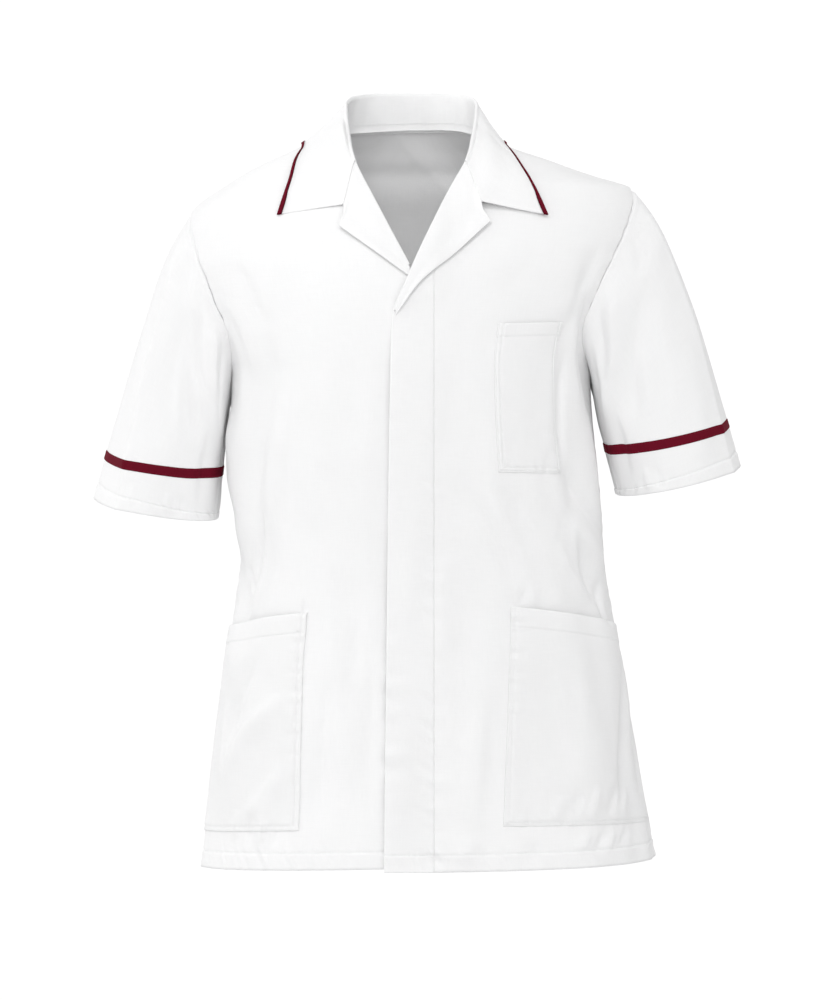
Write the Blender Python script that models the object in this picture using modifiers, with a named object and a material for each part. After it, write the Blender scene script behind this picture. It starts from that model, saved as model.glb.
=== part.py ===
"""Short-sleeved work tunic, worn form with nobody in it.

Millimetres in the tables, metres in the meshes. X runs to the wearer's left, Y to the back, Z up.
The origin is the middle of the neck opening, level with the points where the shoulder seams
meet the collar.

The body form is a chart: a point of it is a turn (0 at the front centre, 90 at the wearer's left
side, 180 at the back centre, negative on the wearer's right) and a height. Every panel, lapel,
band and pocket is a stretch of that chart, moved out by its lift.
"""
import math
from bisect import bisect_right
from collections import namedtuple

import bpy
import bmesh
from mathutils import Vector

MM = 0.001

# ---------------------------------------------------------------- driving dimensions (mm)
CLOTH = 1.5                 # wall of a single panel
TAPE = 1.2                  # wall of the contrast tapes
SEAM = 0.7                  # spacing of two outer faces at a seam; the inner faces close to 0.3
LAY = 0.5                   # air between a panel and what lies on it
SQUARENESS = 0.85           # 1 is an ellipse, less is squarer

BACK_NECK_Z = 8.0
HEM_BACK_Z = -736.0
HEM_FRONT_Z = {"right": -727.0, "left": -731.0}
HEM_SIDE_Z = {"right": -737.0, "left": -730.0}

SHOULDER_TIP_Z = {"right": -86.0, "left": -60.0}
NECK_POINT_Z = {"right": 0.0, "left": -8.0}
UNDERARM_Z = {"right": -250.0, "left": -240.0}
ARMHOLE_TURN = 28.0         # degrees that the armhole seam comes round to the front and back

PLACKET_EDGE_X = -20.5      # free edge of the left front, past the centre line
PLACKET_HEM_X = -27.0
PLACKET_SEAM_X = 21.0
PLACKET_TOP_Z = -106.0
PLACKET_LIFT = 0.2
UNDERLAP_X = 22.0           # hidden edge of the right front
OVERLAP_FADE_X = (24.0, 50.0)       # where the left front comes down off the right one
LAPEL_FADE_X = (16.0, 42.0)         # where it comes down off the right lapel
LAPEL_FADE_Z = (-192.0, -170.0)
LAPEL_ROOM = 0.6            # further air over the right lapel

COLLAR_CREST = 2.3          # half the width of the fold at the collar's roll
CREST_DROP = 3.0
CREST_TURN = 0.65           # over 0 the fold turns to the back as the collar does
COLLAR_LIFT = 3.75
COLLAR_FALL_ROOM = 0.6      # further air under the fall of the collar at its roll
STAND, ROLLED = 0.22, 0.38  # shares across the collar where its stand and its roll end
VIA = 0.42                  # share down the fall where it bends towards the notch
CORNER_AT = 0.86            # share along half the collar where its fall starts to meet the notch
COLLAR_TRIM_WIDTH = 5.5
COLLAR_TRIM_GAP = 0.022     # share across the collar left open beside its trim
GORGE_Z = -39.0             # where the neckline meets the roll of the lapel
NECK_SIDE_AT = 0.56         # share of half the neckline that runs along the back
ROLL_NARROWER = {"right": 0.0, "left": 3.0}
NOTCH = (67.0, -84.0)       # inner corner between collar and lapel
LAPEL_LIFT = 2.3
LAPEL_CROWN = 1.4           # how far the lapel stands up next to its roll
LAPEL_CROWN_SHARE = 1 / 1.6
SLEEVE_TAPE_WIDTH = 9.0
SLEEVE_TAPE_FROM_HEM = 46.0
SLEEVE_TAPE_LIFT = TAPE + LAY + 0.2

SIGN = {"right": -1.0, "left": 1.0}

# ---------------------------------------------------------------- the body form
Depth = namedtuple("Depth", "z front back ridge")
DEPTHS = (
    Depth(14, 12, 74, 17),
    Depth(0, 32, 84, 16),
    Depth(-20, 53, 93, 15),
    Depth(-40, 71, 100, 14),
    Depth(-60, 86, 106, 13),
    Depth(-100, 109, 115, 11),
    Depth(-147, 128, 121, 8),
    Depth(-200, 138, 123, 5),
    Depth(-250, 141, 120, 2),
    Depth(-330, 138, 112, 0),
    Depth(-430, 133, 105, 0),
    Depth(-530, 136, 111, 0),
    Depth(-640, 143, 121, 0),
    Depth(-745, 149, 128, 0),
)

Half = namedtuple("Half", "z width")
HALVES = {
    "right": (
        Half(14, 50), Half(8, 63), Half(0, 80), Half(-10, 98), Half(-20, 119), Half(-41, 162),
        Half(-60, 191), Half(-75, 212), Half(-86, 222), Half(-110, 230), Half(-133, 231),
        Half(-155, 225), Half(-178, 216), Half(-200, 202), Half(-225, 190), Half(-250, 182),
        Half(-290, 181), Half(-345, 179), Half(-397, 176), Half(-430, 172), Half(-462, 175),
        Half(-494, 179), Half(-530, 186), Half(-580, 192), Half(-640, 199), Half(-690, 204),
        Half(-745, 211),
    ),
    "left": (
        Half(12, 48), Half(4, 60), Half(-8, 79), Half(-17, 97), Half(-24, 115), Half(-32, 138),
        Half(-42, 164), Half(-50, 188), Half(-57, 212), Half(-60, 219), Half(-75, 228),
        Half(-93, 230), Half(-113, 227), Half(-133, 220), Half(-155, 209), Half(-180, 196),
        Half(-204, 186), Half(-240, 178), Half(-290, 180), Half(-345, 186), Half(-397, 190),
        Half(-430, 192), Half(-470, 198), Half(-500, 203), Half(-535, 209), Half(-580, 217),
        Half(-640, 227), Half(-690, 236), Half(-745, 245),
    ),
}

# Largest folds: soft ridges (height over 0) and troughs, from one chart point to another.
Fold = namedtuple("Fold", "turn z to_turn to_z width height")
FOLDS = (
    Fold(-56, -240, -60, -520, 26, -3.5),
    Fold(-44, -330, -41, -640, 28, 3.0),
    Fold(-76, -280, -72, -440, 22, 3.5),
    Fold(-84, -420, -58, -520, 20, -4.0),
    Fold(-82, -470, -52, -580, 20, 3.5),
    Fold(-40, -560, -66, -690, 24, 3.5),
    Fold(56, -300, 54, -520, 26, -3.5),
    Fold(72, -280, 68, -460, 22, 3.5),
    Fold(50, -390, 74, -450, 20, 4.0),
    Fold(56, -430, 82, -495, 20, -4.0),
    Fold(70, -560, 66, -735, 24, -4.0),
    Fold(46, -600, 40, -735, 26, 3.5),
    Fold(15, -375, 31, -478, 20, 2.5),
    Fold(27, -520, 24, -700, 22, -2.5),
    Fold(-22, -520, -27, -700, 24, -2.5),
    Fold(-72, -600, -68, -735, 24, -3.0),
    Fold(112, -300, 118, -560, 26, -4.0),
    Fold(140, -420, 136, -735, 30, 4.0),
    Fold(162, -380, 166, -735, 30, -4.0),
    Fold(-112, -300, -118, -560, 26, -4.0),
    Fold(-138, -400, -134, -735, 30, 4.0),
    Fold(-164, -420, -160, -735, 30, -3.5),
    Fold(128, -180, 150, -300, 26, 3.5),
    Fold(-128, -185, -150, -310, 26, 3.5),
)

# ---------------------------------------------------------------- panels
# A station is one row of a panel: where it starts at the neckline or front edge, in x and z
# towards the panel's own side, and the share of the armhole where it ends; None is the side seam.
FRONT_SEAM_X = PLACKET_SEAM_X + SEAM
Station = namedtuple("Station", "at x z armhole")
FRONT = {
    "right": (
        Station(0.00, 80, 0, 0.00),
        Station(0.06, 74, -12, 0.13),
        Station(0.13, 57, -40, 0.28),
        Station(0.20, 41, -69, 0.44),
        Station(0.28, 21, -108, 0.62),
        Station(0.37, -4, -153, 0.82),
        Station(0.45, -UNDERLAP_X, -198, 1.00),
        Station(0.55, -UNDERLAP_X, -290, None),
        Station(1.00, -UNDERLAP_X, HEM_FRONT_Z["right"], None),
    ),
    "left": (
        Station(0.00, 79, -8, 0.00),
        Station(0.06, 71, -17, 0.13),
        Station(0.13, 54, -38, 0.28),
        Station(0.20, 37, -66, 0.46),
        Station(0.26, FRONT_SEAM_X, -101, 0.60),
        Station(0.33, FRONT_SEAM_X, -140, 0.78),
        Station(0.45, FRONT_SEAM_X, -205, 1.00),
        Station(0.55, FRONT_SEAM_X, -290, None),
        Station(1.00, FRONT_SEAM_X, HEM_FRONT_Z["left"], None),
    ),
}

# Placket: its free edge, and how far down it each row lies.
PlacketRow = namedtuple("PlacketRow", "at edge_x z")
PLACKET = (
    PlacketRow(0.00, 18.5, PLACKET_TOP_Z),
    PlacketRow(0.07, 0.6, -146),
    PlacketRow(0.15, PLACKET_EDGE_X + 0.8, -194),
    PlacketRow(0.20, PLACKET_EDGE_X, -225),
    PlacketRow(1.00, PLACKET_HEM_X, HEM_FRONT_Z["left"]),
)

# Half of the back: how far down the back centre and the armhole or side seam each row lies.
BackRow = namedtuple("BackRow", "at centre_z armhole")
BACK = (
    BackRow(0.00, BACK_NECK_Z, 0.00),
    BackRow(0.10, -40, 0.20),
    BackRow(0.20, -96, 0.42),
    BackRow(0.30, -156, 0.66),
    BackRow(0.38, -210, 0.85),
    BackRow(0.45, -256, 1.00),
    BackRow(0.55, -325, 1.00),
    BackRow(1.00, HEM_BACK_Z, 1.00),
)
BACK_UNDERARM_AT = 0.45
BACK_NECK_SHARE = 0.40      # share of a top row that is neckline; the rest is shoulder seam
BACK_TOP_REACH = 0.34       # how far down the panel the shape of its top edge fades out

# Sleeve: hem ring and the way each path leaves the armhole and reaches the hem.
Sleeve = namedtuple("Sleeve", "hem_x hem_y hem_z out_x out_z leave_top leave_under reach_top reach_under")
SLEEVES = {
    "right": Sleeve(255.5, -2, -380, 59.5, 10, (92, -108), (16, -112), (85, -280), (16, -120)),
    "left": Sleeve(266.0, -2, -352, 60.0, 14, (118, -72), (20, -105), (78, -270), (34, -115)),
}
SLEEVE_HALF_DEPTH = 62.0
SLEEVE_FRONT_DROP = 8.0
SLEEVE_FULLNESS = 26.0
SLEEVE_CREASE = 1.35        # over 1 pinches the ring to the pressed crease on its outer side
SLEEVE_AXIS_X = 205.0       # where the middle of a sleeve leaves the body
SLEEVE_START = 0.006        # share of the sleeve left open at the armhole seam
SLEEVE_TAPE_SPAN = 0.2      # share of the sleeve over which its length near the hem is measured

FOLD_DEGREE = 3.0           # millimetres of body cloth that a degree of turn is taken as
SLEEVE_DEGREE = 1.1         # and of sleeve cloth
SLEEVE_REACH = 250.0        # length of a sleeve as its folds take it

# Folds of a sleeve: turn round the ring (0 outer edge, 90 front, 180 underarm) and share down.
SleeveFold = namedtuple("SleeveFold", "turn share to_turn to_share width height")
SLEEVE_FOLDS = (
    SleeveFold(70, 0.25, 118, 0.62, 15, -4.0),
    SleeveFold(98, 0.10, 142, 0.50, 13, 4.0),
    SleeveFold(40, 0.45, 66, 0.95, 17, 3.0),
    SleeveFold(-72, 0.22, -118, 0.60, 16, -4.0),
    SleeveFold(-44, 0.40, -66, 0.92, 18, 3.0),
)

# Collar, half of it, from the back centre to its front end: the top of its roll in space, and the
# chart turn of its outer edge on each side.
Collar = namedtuple("Collar", "at roll_x roll_y roll_z edge_right edge_left edge_z")
COLLAR = (
    Collar(0.00, 0, 102, 45, 180, 180, -14),
    Collar(0.18, 34, 98, 44.5, 154, 152, -15),
    Collar(0.36, 60, 73, 39, 123, 121, -15.5),
    Collar(0.52, 67, 38, 28, 94, 94, -15),
    Collar(0.56, 66.8, 29, 22.5, 72, 70, -17.5),
    Collar(0.60, 66.5, 20, 17, 57, 55, -26),
    Collar(0.68, 65, 3, 5, 43, 39.5, -40),
    Collar(0.84, 61, -36, -20, 34.3, 28.8, -67),
    Collar(1.00, 56, -58, -37, 31.7, 31.4, -94),
)

# Lapels: the roll line and the free edge, x towards the lapel's own side.
Lapel = namedtuple("Lapel", "at roll_x roll_z edge_x edge_z")
LAPELS = {
    "right": (
        Lapel(0.00, 54.5, -41, 63.8, -85.5),
        Lapel(0.22, 44.0, -62, 70.5, -106.5),
        Lapel(0.60, 24.0, -101, 39, -129),
        Lapel(1.00, 1.5, -144, -1, -158),
    ),
    "left": (
        Lapel(0.00, 49.5, -43.5, 63.5, -83),
        Lapel(0.22, 38.5, -64, 77, -101),
        Lapel(0.50, 19.5, -104, 39, -136),
        Lapel(0.75, 1.0, -144, 9, -162),
        Lapel(1.00, -17.5, -189, -15.5, -194),
    ),
}

# Pockets: corners as x and z on the form, inner edge first; x is None at the side seam. Stand is
# how far the mouth stands off.
Pocket = namedtuple("Pocket", "side inner_top outer_top inner_low outer_low lift stand")
POCKETS = {
    "chest_pocket": Pocket("left", (83.5, -201), (147, -198), (83.5, -345), (147, -346), 2.8, 0.3),
    "hip_pocket_right": Pocket("right", (101.5, -481), (None, -500), (109.5, -692), (None, -701), 3.5, 1.6),
    "hip_pocket_left": Pocket("left", (96, -475), (None, -497), (88, -687), (None, -690), 3.1, 1.6),
}
HIP_POCKET_TURN = 87.5      # where the hip pockets meet the side seams
MOUTH_END = 0.08            # share of a pocket's mouth at each end that keeps its stand
MOUTH_DEPTH = 1 / 1.4       # share down a pocket where its mouth lies flat again

# Columns and rows of the surface of each piece.
GRIDS = {
    "back": (30, 27), "front": (15, 28), "placket": (3, 30), "lapel": (6, 12), "collar": (12, 26),
    "sleeve": (24, 14), "chest_pocket": (4, 7), "hip_pocket": (9, 10),
}

WHITE = (0.86, 0.87, 0.89, 1.0)
MAROON = (0.19, 0.012, 0.032, 1.0)


# ---------------------------------------------------------------- smooth tables
def slopes_of(keys, values):
    """Slopes for a smooth curve through the rows that never swings past them."""
    secants = [(values[i + 1] - values[i]) / (keys[i + 1] - keys[i]) for i in range(len(keys) - 1)]
    slopes = [secants[0]]
    for before, after in zip(secants, secants[1:]):
        slopes.append(0.0 if before * after <= 0 else 2 * before * after / (before + after))
    slopes.append(secants[-1])
    return slopes


CURVES = {}


def read(table, column, key, at):
    """Value of a column of a table, read smoothly between its rows."""
    name = (id(table), column, key)
    if name not in CURVES:
        rows = sorted(table, key=lambda row: getattr(row, key))
        keys = [getattr(row, key) for row in rows]
        values = [getattr(row, column) for row in rows]
        CURVES[name] = (keys, values, slopes_of(keys, values))
    keys, values, slopes = CURVES[name]
    at = min(max(at, keys[0]), keys[-1])
    low = min(max(bisect_right(keys, at) - 1, 0), len(keys) - 2)
    span = keys[low + 1] - keys[low]
    share = (at - keys[low]) / span
    return hermite(values[low], values[low + 1], slopes[low] * span, slopes[low + 1] * span, share)


def hermite(start, end, leave, reach, share):
    """Cubic from start to end with the slopes leave and reach."""
    square = share * share
    cube = square * share
    return (start * (2 * cube - 3 * square + 1) + leave * (cube - 2 * square + share)
            + end * (3 * square - 2 * cube) + reach * (cube - square))


def mix(start, end, share):
    return start + (end - start) * share


def smooth(share):
    share = min(max(share, 0.0), 1.0)
    return share * share * (3 - 2 * share)


def ramp(value, span):
    """0 before a span, 1 after it, smooth between."""
    return smooth((value - span[0]) / (span[1] - span[0]))


# ---------------------------------------------------------------- the body form as a chart
def half_width(side, z):
    return read(HALVES[side], "width", "z", z)


def side_of(x):
    return "left" if x >= 0 else "right"


def form_point(turn, z):
    """Point of the body form without its folds."""
    angle = math.radians(turn)
    across = math.sin(angle)
    along = math.cos(angle)
    depth = read(DEPTHS, "front" if along >= 0 else "back", "z", z)
    x = half_width(side_of(across), z) * math.copysign(abs(across) ** SQUARENESS, across)
    y = read(DEPTHS, "ridge", "z", z) - depth * math.copysign(abs(along) ** SQUARENESS, along)
    return Vector((x, y, z))


def form_normal(turn, z):
    round_step = form_point(turn + 0.8, z) - form_point(turn - 0.8, z)
    rise_step = form_point(turn, z + 1.5) - form_point(turn, z - 1.5)
    return round_step.cross(rise_step).normalized()


def fold_height(turn, z):
    """Height of the folds at a chart point."""
    turn = (turn + 180) % 360 - 180
    height = 0.0
    for fold in FOLDS:
        run = Vector(((fold.to_turn - fold.turn) * FOLD_DEGREE, fold.to_z - fold.z))
        spot = Vector(((turn - fold.turn) * FOLD_DEGREE, z - fold.z))
        runs_off = fold.to_z < min(HEM_FRONT_Z.values())
        height += soft_fold(fold, run, spot, runs_off)
    return height


def soft_fold(fold, run, spot, runs_off=False):
    """Height of one fold that fades at its ends, or only at its start if it runs off the hem."""
    along = spot.dot(run) / run.length_squared
    off = (spot - run * along).length
    ends = smooth(along * 3 + 0.2) * smooth((1 - along) * 3 + 0.2)
    if runs_off:
        ends = smooth(along * 2 + 0.1)
    return fold.height * ends * math.exp(-(off / fold.width) ** 2)


def cloth_point(turn, z, lift=0.0):
    """Point of the worn cloth, moved out from it by a lift."""
    return form_point(turn, z) + form_normal(turn, z) * (fold_height(turn, z) + lift)


def turn_at(x, z):
    """Turn of the front point at a given x."""
    share = min(abs(x) / half_width(side_of(x), z), 1.0)
    return math.copysign(math.degrees(math.asin(share ** (1 / SQUARENESS))), x)


def armhole(side, share, face):
    """Chart point of the armhole seam: share 0 at the shoulder, 1 at the underarm."""
    top = SHOULDER_TIP_Z[side]
    low = UNDERARM_Z[side]
    angle = share * math.pi
    away = ARMHOLE_TURN * math.sin(angle)
    turn = 90 - away if face == "front" else 90 + away
    z = (top + low) / 2 + (top - low) / 2 * math.cos(angle)
    return turn, z


def seam_turn(face, z):
    """Degrees of turn that half a seam's spacing takes at a side or shoulder seam."""
    share = SEAM / 2 / read(DEPTHS, face, "z", z)
    return math.degrees(math.asin(share ** (1 / SQUARENESS)))


def neckline(side, at):
    """Chart point of the neckline: 0 at the back centre, 1 where the lapel starts to roll."""
    if at <= NECK_SIDE_AT:
        share = at / NECK_SIDE_AT
        z = mix(BACK_NECK_Z, NECK_POINT_Z[side], smooth(share) * 0.6 + share * 0.4)
        return mix(180, 90 + seam_turn("back", z), share), z
    z = mix(NECK_POINT_Z[side], GORGE_Z, (at - NECK_SIDE_AT) / (1 - NECK_SIDE_AT))
    return abs(turn_at(read(FRONT[side], "x", "z", z) * SIGN[side], z)), z


# ---------------------------------------------------------------- solids
def grid_sheet(name, columns, rows, place, closed=False):
    """Open cloth surface: a flat grid whose points are carried to place(across, down)."""
    mesh = bpy.data.meshes.new(name)
    shape = bmesh.new()
    bmesh.ops.create_grid(shape, x_segments=columns, y_segments=rows, size=0.5)
    for vert in shape.verts:
        vert.co = place(vert.co.x + 0.5, 0.5 - vert.co.y) * MM
    if closed:
        bmesh.ops.remove_doubles(shape, verts=shape.verts[:], dist=0.00001)
    shape.to_mesh(mesh)
    shape.free()
    return mesh


def cloth_solid(name, mesh, wall, material, collection, inwards):
    """Gives a surface its wall. Inwards is a function that says which way a face should not look."""
    shape = bmesh.new()
    shape.from_mesh(mesh)
    shape.normal_update()
    wrong = sum(1 if face.normal.dot(inwards(face.calc_center_median() / MM)) > 0 else -1
                for face in shape.faces)
    if wrong > 0:
        bmesh.ops.reverse_faces(shape, faces=shape.faces[:])
    shape.to_mesh(mesh)
    shape.free()
    mesh.shade_smooth()
    mesh.materials.append(material)
    piece = bpy.data.objects.new(name, mesh)
    collection.objects.link(piece)
    solidify = piece.modifiers.new("wall", "SOLIDIFY")
    solidify.thickness = wall * MM
    solidify.offset = -1.0
    return piece


def to_axis(point):
    """From a point of the body towards the middle of the body."""
    return Vector((-point.x, -point.y, 0))


def cloth_material(name, color, roughness):
    material = bpy.data.materials.new(name)
    material.use_nodes = True
    shader = material.node_tree.nodes["Principled BSDF"]
    shader.inputs["Base Color"].default_value = color
    shader.inputs["Roughness"].default_value = roughness
    shader.inputs["Metallic"].default_value = 0.0
    return material


# ---------------------------------------------------------------- body panels
def overlap_lift(x, z):
    """Lift of the left front where it lies over the right one, and over its lapel at the top."""
    over_front = (CLOTH + LAY) * (1 - ramp(x, OVERLAP_FADE_X))
    over_lapel = (CLOTH + LAY + LAPEL_ROOM) * ramp(z, LAPEL_FADE_Z) * (1 - ramp(x, LAPEL_FADE_X))
    return over_front + over_lapel


def front_panel(side, material, collection):
    """Front from its neckline and centre edge to the armhole and side seam."""
    table = FRONT[side]
    sign = SIGN[side]
    upper = [row for row in table if row.armhole is not None]
    underarm_at = upper[-1].at

    def place(across, down):
        start_z = read(table, "z", "at", down)
        start_turn = turn_at(read(table, "x", "z", start_z) * sign, start_z)
        if down <= underarm_at:
            end_turn, end_z = armhole(side, read(upper, "armhole", "at", down), "front")
        else:
            end_turn = 90
            end_z = mix(UNDERARM_Z[side], HEM_SIDE_Z[side], (down - underarm_at) / (1 - underarm_at))
        turn = mix(start_turn, end_turn * sign, across)
        z = mix(start_z, end_z, across)
        turn = math.copysign(min(abs(turn), 90 - seam_turn("front", z)), turn)
        lift = 0.0
        if side == "left":
            lift = overlap_lift(form_point(turn, z).x, z)
        return cloth_point(turn, z, lift)

    mesh = grid_sheet("front_" + side, *GRIDS["front"], place)
    return cloth_solid("front_" + side, mesh, CLOTH, material, collection, to_axis)


def back_panel(material, collection):
    """Whole back, from one armhole and side seam round to the other."""
    def place(across, down):
        side = "left" if across >= 0.5 else "right"
        out = abs(across - 0.5) * 2
        if down <= BACK_UNDERARM_AT:
            end_turn, end_z = armhole(side, read(BACK, "armhole", "at", down), "back")
        else:
            below = (down - BACK_UNDERARM_AT) / (1 - BACK_UNDERARM_AT)
            end_turn, end_z = 90, mix(UNDERARM_Z[side], HEM_SIDE_Z[side], below)
        turn = mix(180, end_turn, out)
        z = mix(read(BACK, "centre_z", "at", down), end_z, out)
        fade = max(0.0, 1 - down / BACK_TOP_REACH) ** 1.5
        if fade > 0:
            tip_turn, tip_z = armhole(side, 0, "back")
            if out <= BACK_NECK_SHARE:
                top_turn, top_z = neckline(side, out / BACK_NECK_SHARE * NECK_SIDE_AT)
            else:
                share = (out - BACK_NECK_SHARE) / (1 - BACK_NECK_SHARE)
                top_turn, top_z = tip_turn, mix(NECK_POINT_Z[side], tip_z, share)
            turn += fade * (top_turn - mix(180, tip_turn, out))
            z += fade * (top_z - mix(BACK_NECK_Z, tip_z, out))
        turn = max(turn, 90 + seam_turn("back", z))
        return cloth_point(turn * SIGN[side], z)

    mesh = grid_sheet("back", *GRIDS["back"], place)
    return cloth_solid("back", mesh, CLOTH, material, collection, to_axis)


def placket(material, collection):
    """Fly band of the left front, from its free edge to its seam."""
    def place(across, down):
        z = read(PLACKET, "z", "at", down)
        x = mix(read(PLACKET, "edge_x", "at", down), PLACKET_SEAM_X, across)
        return cloth_point(turn_at(x, z), z, overlap_lift(x, z) + PLACKET_LIFT)

    mesh = grid_sheet("placket", *GRIDS["placket"], place)
    return cloth_solid("placket", mesh, CLOTH, material, collection, to_axis)


# ---------------------------------------------------------------- lapels and collar
def lapel(side, material, collection):
    """Turned-back top corner of a front, lying on it from the roll line outwards."""
    table = LAPELS[side]
    sign = SIGN[side]

    def place(across, down):
        x = mix(read(table, "roll_x", "at", down), read(table, "edge_x", "at", down), across) * sign
        z = mix(read(table, "roll_z", "at", down), read(table, "edge_z", "at", down), across)
        lift = LAPEL_LIFT + LAPEL_CROWN * math.sin(math.pi * min(across / LAPEL_CROWN_SHARE, 1)) * (1 - down)
        if side == "left":
            lift += overlap_lift(x, z)
        return cloth_point(turn_at(x, z), z, lift)

    mesh = grid_sheet("lapel_" + side, *GRIDS["lapel"], place)
    return cloth_solid("lapel_" + side, mesh, CLOTH, material, collection, to_axis)


def clear_of_body(point, clearance):
    """Moves a point out along the nearest normal of the body form, if it is nearer than that."""
    z = min(point.z, 0.0)
    width = half_width(side_of(point.x), z)
    ahead = read(DEPTHS, "ridge", "z", z) - point.y
    turn = math.degrees(math.atan2(point.x / width, ahead / read(DEPTHS, "front", "z", z)))
    for _ in range(12):
        spot = form_point(turn, z)
        per_turn = (form_point(turn + 0.5, z) - form_point(turn - 0.5, z))
        per_rise = (form_point(turn, z + 0.5) - form_point(turn, z - 0.5))
        off = point - spot
        turn += min(max(off.dot(per_turn) / per_turn.length_squared, -8), 8) * 0.7
        z += min(max(off.dot(per_rise) / per_rise.length_squared, -8), 8) * 0.7
        z = min(z, 12.0)
    spot = form_point(turn, z)
    normal = form_normal(turn, z)
    lift = (point - spot).dot(normal)
    return point + normal * max(0.0, clearance - lift)


def collar_lines(at, sign):
    """Foot, inner and outer crest, via and edge of one cross-section of the collar."""
    side = "left" if sign > 0 else "right"
    roll_x, roll_y, roll_z = (read(COLLAR, column, "at", at) for column in ("roll_x", "roll_y", "roll_z"))
    roll = Vector(((roll_x - ROLL_NARROWER[side] * at) * sign, roll_y, roll_z))
    neck_turn, neck_z = neckline(side, at)
    neck = form_point(neck_turn * sign, neck_z)
    normal = form_normal(neck_turn * sign, neck_z)
    behind_turn, behind_z = neckline(side, max(at - 0.02, 0))
    ahead_turn, ahead_z = neckline(side, min(at + 0.02, 1))
    run = form_point(ahead_turn * sign, ahead_z) - form_point(behind_turn * sign, behind_z)
    inwards = run.cross(normal).normalized() * sign
    foot = neck + inwards * (CLOTH + SEAM) - normal * CLOTH
    out = Vector((roll.x, roll.y * CREST_TURN, 0)).normalized()
    edge_z = read(COLLAR, "edge_z", "at", at)
    edge = cloth_point(read(COLLAR, "edge_" + side, "at", at) * sign, edge_z, COLLAR_LIFT)
    drop = Vector((0, 0, CREST_DROP))
    inner = roll - out * COLLAR_CREST - drop
    outer = roll + out * COLLAR_CREST - drop
    notch = cloth_point(turn_at(NOTCH[0] * sign, NOTCH[1]), NOTCH[1], COLLAR_LIFT)
    via = outer.lerp(edge, VIA).lerp(notch, ramp(at, (CORNER_AT, 1)))
    return foot, inner, roll, outer, via, edge


def collar_point(at, sign, across):
    """Across is 0 at the neckline and 1 at the outer edge, with the stand, roll and fall between."""
    foot, inner, roll, outer, via, edge = collar_lines(at, sign)
    if across < STAND:
        return foot.lerp(inner, across / STAND)
    if across < ROLLED:
        share = (across - STAND) / (ROLLED - STAND)
        bow = roll * 2 - (inner + outer) / 2
        return inner.lerp(bow, share).lerp(bow.lerp(outer, share), share)
    share = (across - ROLLED) / (1 - ROLLED)
    point = outer.lerp(via, share / VIA) if share < VIA else via.lerp(edge, (share - VIA) / (1 - VIA))
    return clear_of_body(point, COLLAR_LIFT + COLLAR_FALL_ROOM * (1 - share))


def share_from_edge(at, sign, width):
    """Share across the collar that lies a width in from its outer edge."""
    _, _, _, _, via, edge = collar_lines(at, sign)
    return 1 - (1 - ROLLED) * (1 - VIA) * width / (edge - via).length


def collar(material, collection):
    def place(across, down):
        at = abs(down - 0.5) * 2
        sign = 1.0 if down >= 0.5 else -1.0
        end = share_from_edge(at, sign, COLLAR_TRIM_WIDTH) - COLLAR_TRIM_GAP
        return collar_point(at, sign, across * end)

    def into_fold(point):
        neck_middle = Vector((0, 20, point.z))
        return neck_middle - point if point.z < 0 else Vector((0, 0, -1))

    mesh = grid_sheet("collar", *GRIDS["collar"], place)
    return cloth_solid("collar", mesh, CLOTH, material, collection, into_fold)


def collar_trim(material, collection):
    """Contrast band along the outer edge of the collar, from tip to tip."""
    def place(across, down):
        at = abs(down - 0.5) * 2
        sign = 1.0 if down >= 0.5 else -1.0
        return collar_point(at, sign, mix(share_from_edge(at, sign, COLLAR_TRIM_WIDTH), 1.0, across))

    mesh = grid_sheet("collar_trim", 1, GRIDS["collar"][1], place)
    return cloth_solid("collar_trim", mesh, CLOTH, material, collection, to_axis)


# ---------------------------------------------------------------- sleeves
def sleeve_point(side, turn, share, lift=0.0):
    """Point of a sleeve: turn round it from its outer edge, share down from the armhole."""
    size = SLEEVES[side]
    sign = SIGN[side]
    angle = math.radians(turn)
    top = (1 + math.cos(angle)) / 2
    face = "front" if math.sin(angle) >= 0 else "back"
    round_share = abs((turn + 180) % 360 - 180) / 180
    chart_turn, chart_z = armhole(side, round_share, face)
    seat = form_normal(chart_turn * sign, chart_z) * SEAM * (1 - top)
    start = form_point(chart_turn * sign, chart_z) + seat
    bulge = math.sin(angle)
    depth = math.copysign(abs(bulge) ** (SLEEVE_CREASE if top > 0.5 else 1.0), bulge)
    hem = Vector((
        (size.hem_x + size.out_x * math.cos(angle)) * sign,
        size.hem_y - SLEEVE_HALF_DEPTH * depth,
        size.hem_z + size.out_z * math.cos(angle) - SLEEVE_FRONT_DROP * depth,
    ))
    leave = Vector((
        mix(size.leave_under[0], size.leave_top[0], top) * sign,
        -SLEEVE_FULLNESS * bulge,
        mix(size.leave_under[1], size.leave_top[1], top),
    ))
    reach = Vector((
        mix(size.reach_under[0], size.reach_top[0], top) * sign,
        0,
        mix(size.reach_under[1], size.reach_top[1], top),
    ))
    path = hermite(start, hem, leave, reach, share)
    middle = Vector((mix(SLEEVE_AXIS_X, size.hem_x, share) * sign, 0, path.z))
    out = (path - middle).normalized()
    return path + out * (sleeve_fold(turn, share) + lift)


def sleeve_fold(turn, share):
    """Height of a sleeve's folds, which fade out at its armhole and its hem."""
    turn = (turn + 180) % 360 - 180
    height = 0.0
    for fold in SLEEVE_FOLDS:
        run_turn, run_share = fold.to_turn - fold.turn, fold.to_share - fold.share
        run = Vector((run_turn * SLEEVE_DEGREE, run_share * SLEEVE_REACH))
        spot = Vector(((turn - fold.turn) * SLEEVE_DEGREE, (share - fold.share) * SLEEVE_REACH))
        height += soft_fold(fold, run, spot)
    return height * smooth(share * 6) * smooth((1 - share) * 8)


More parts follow.
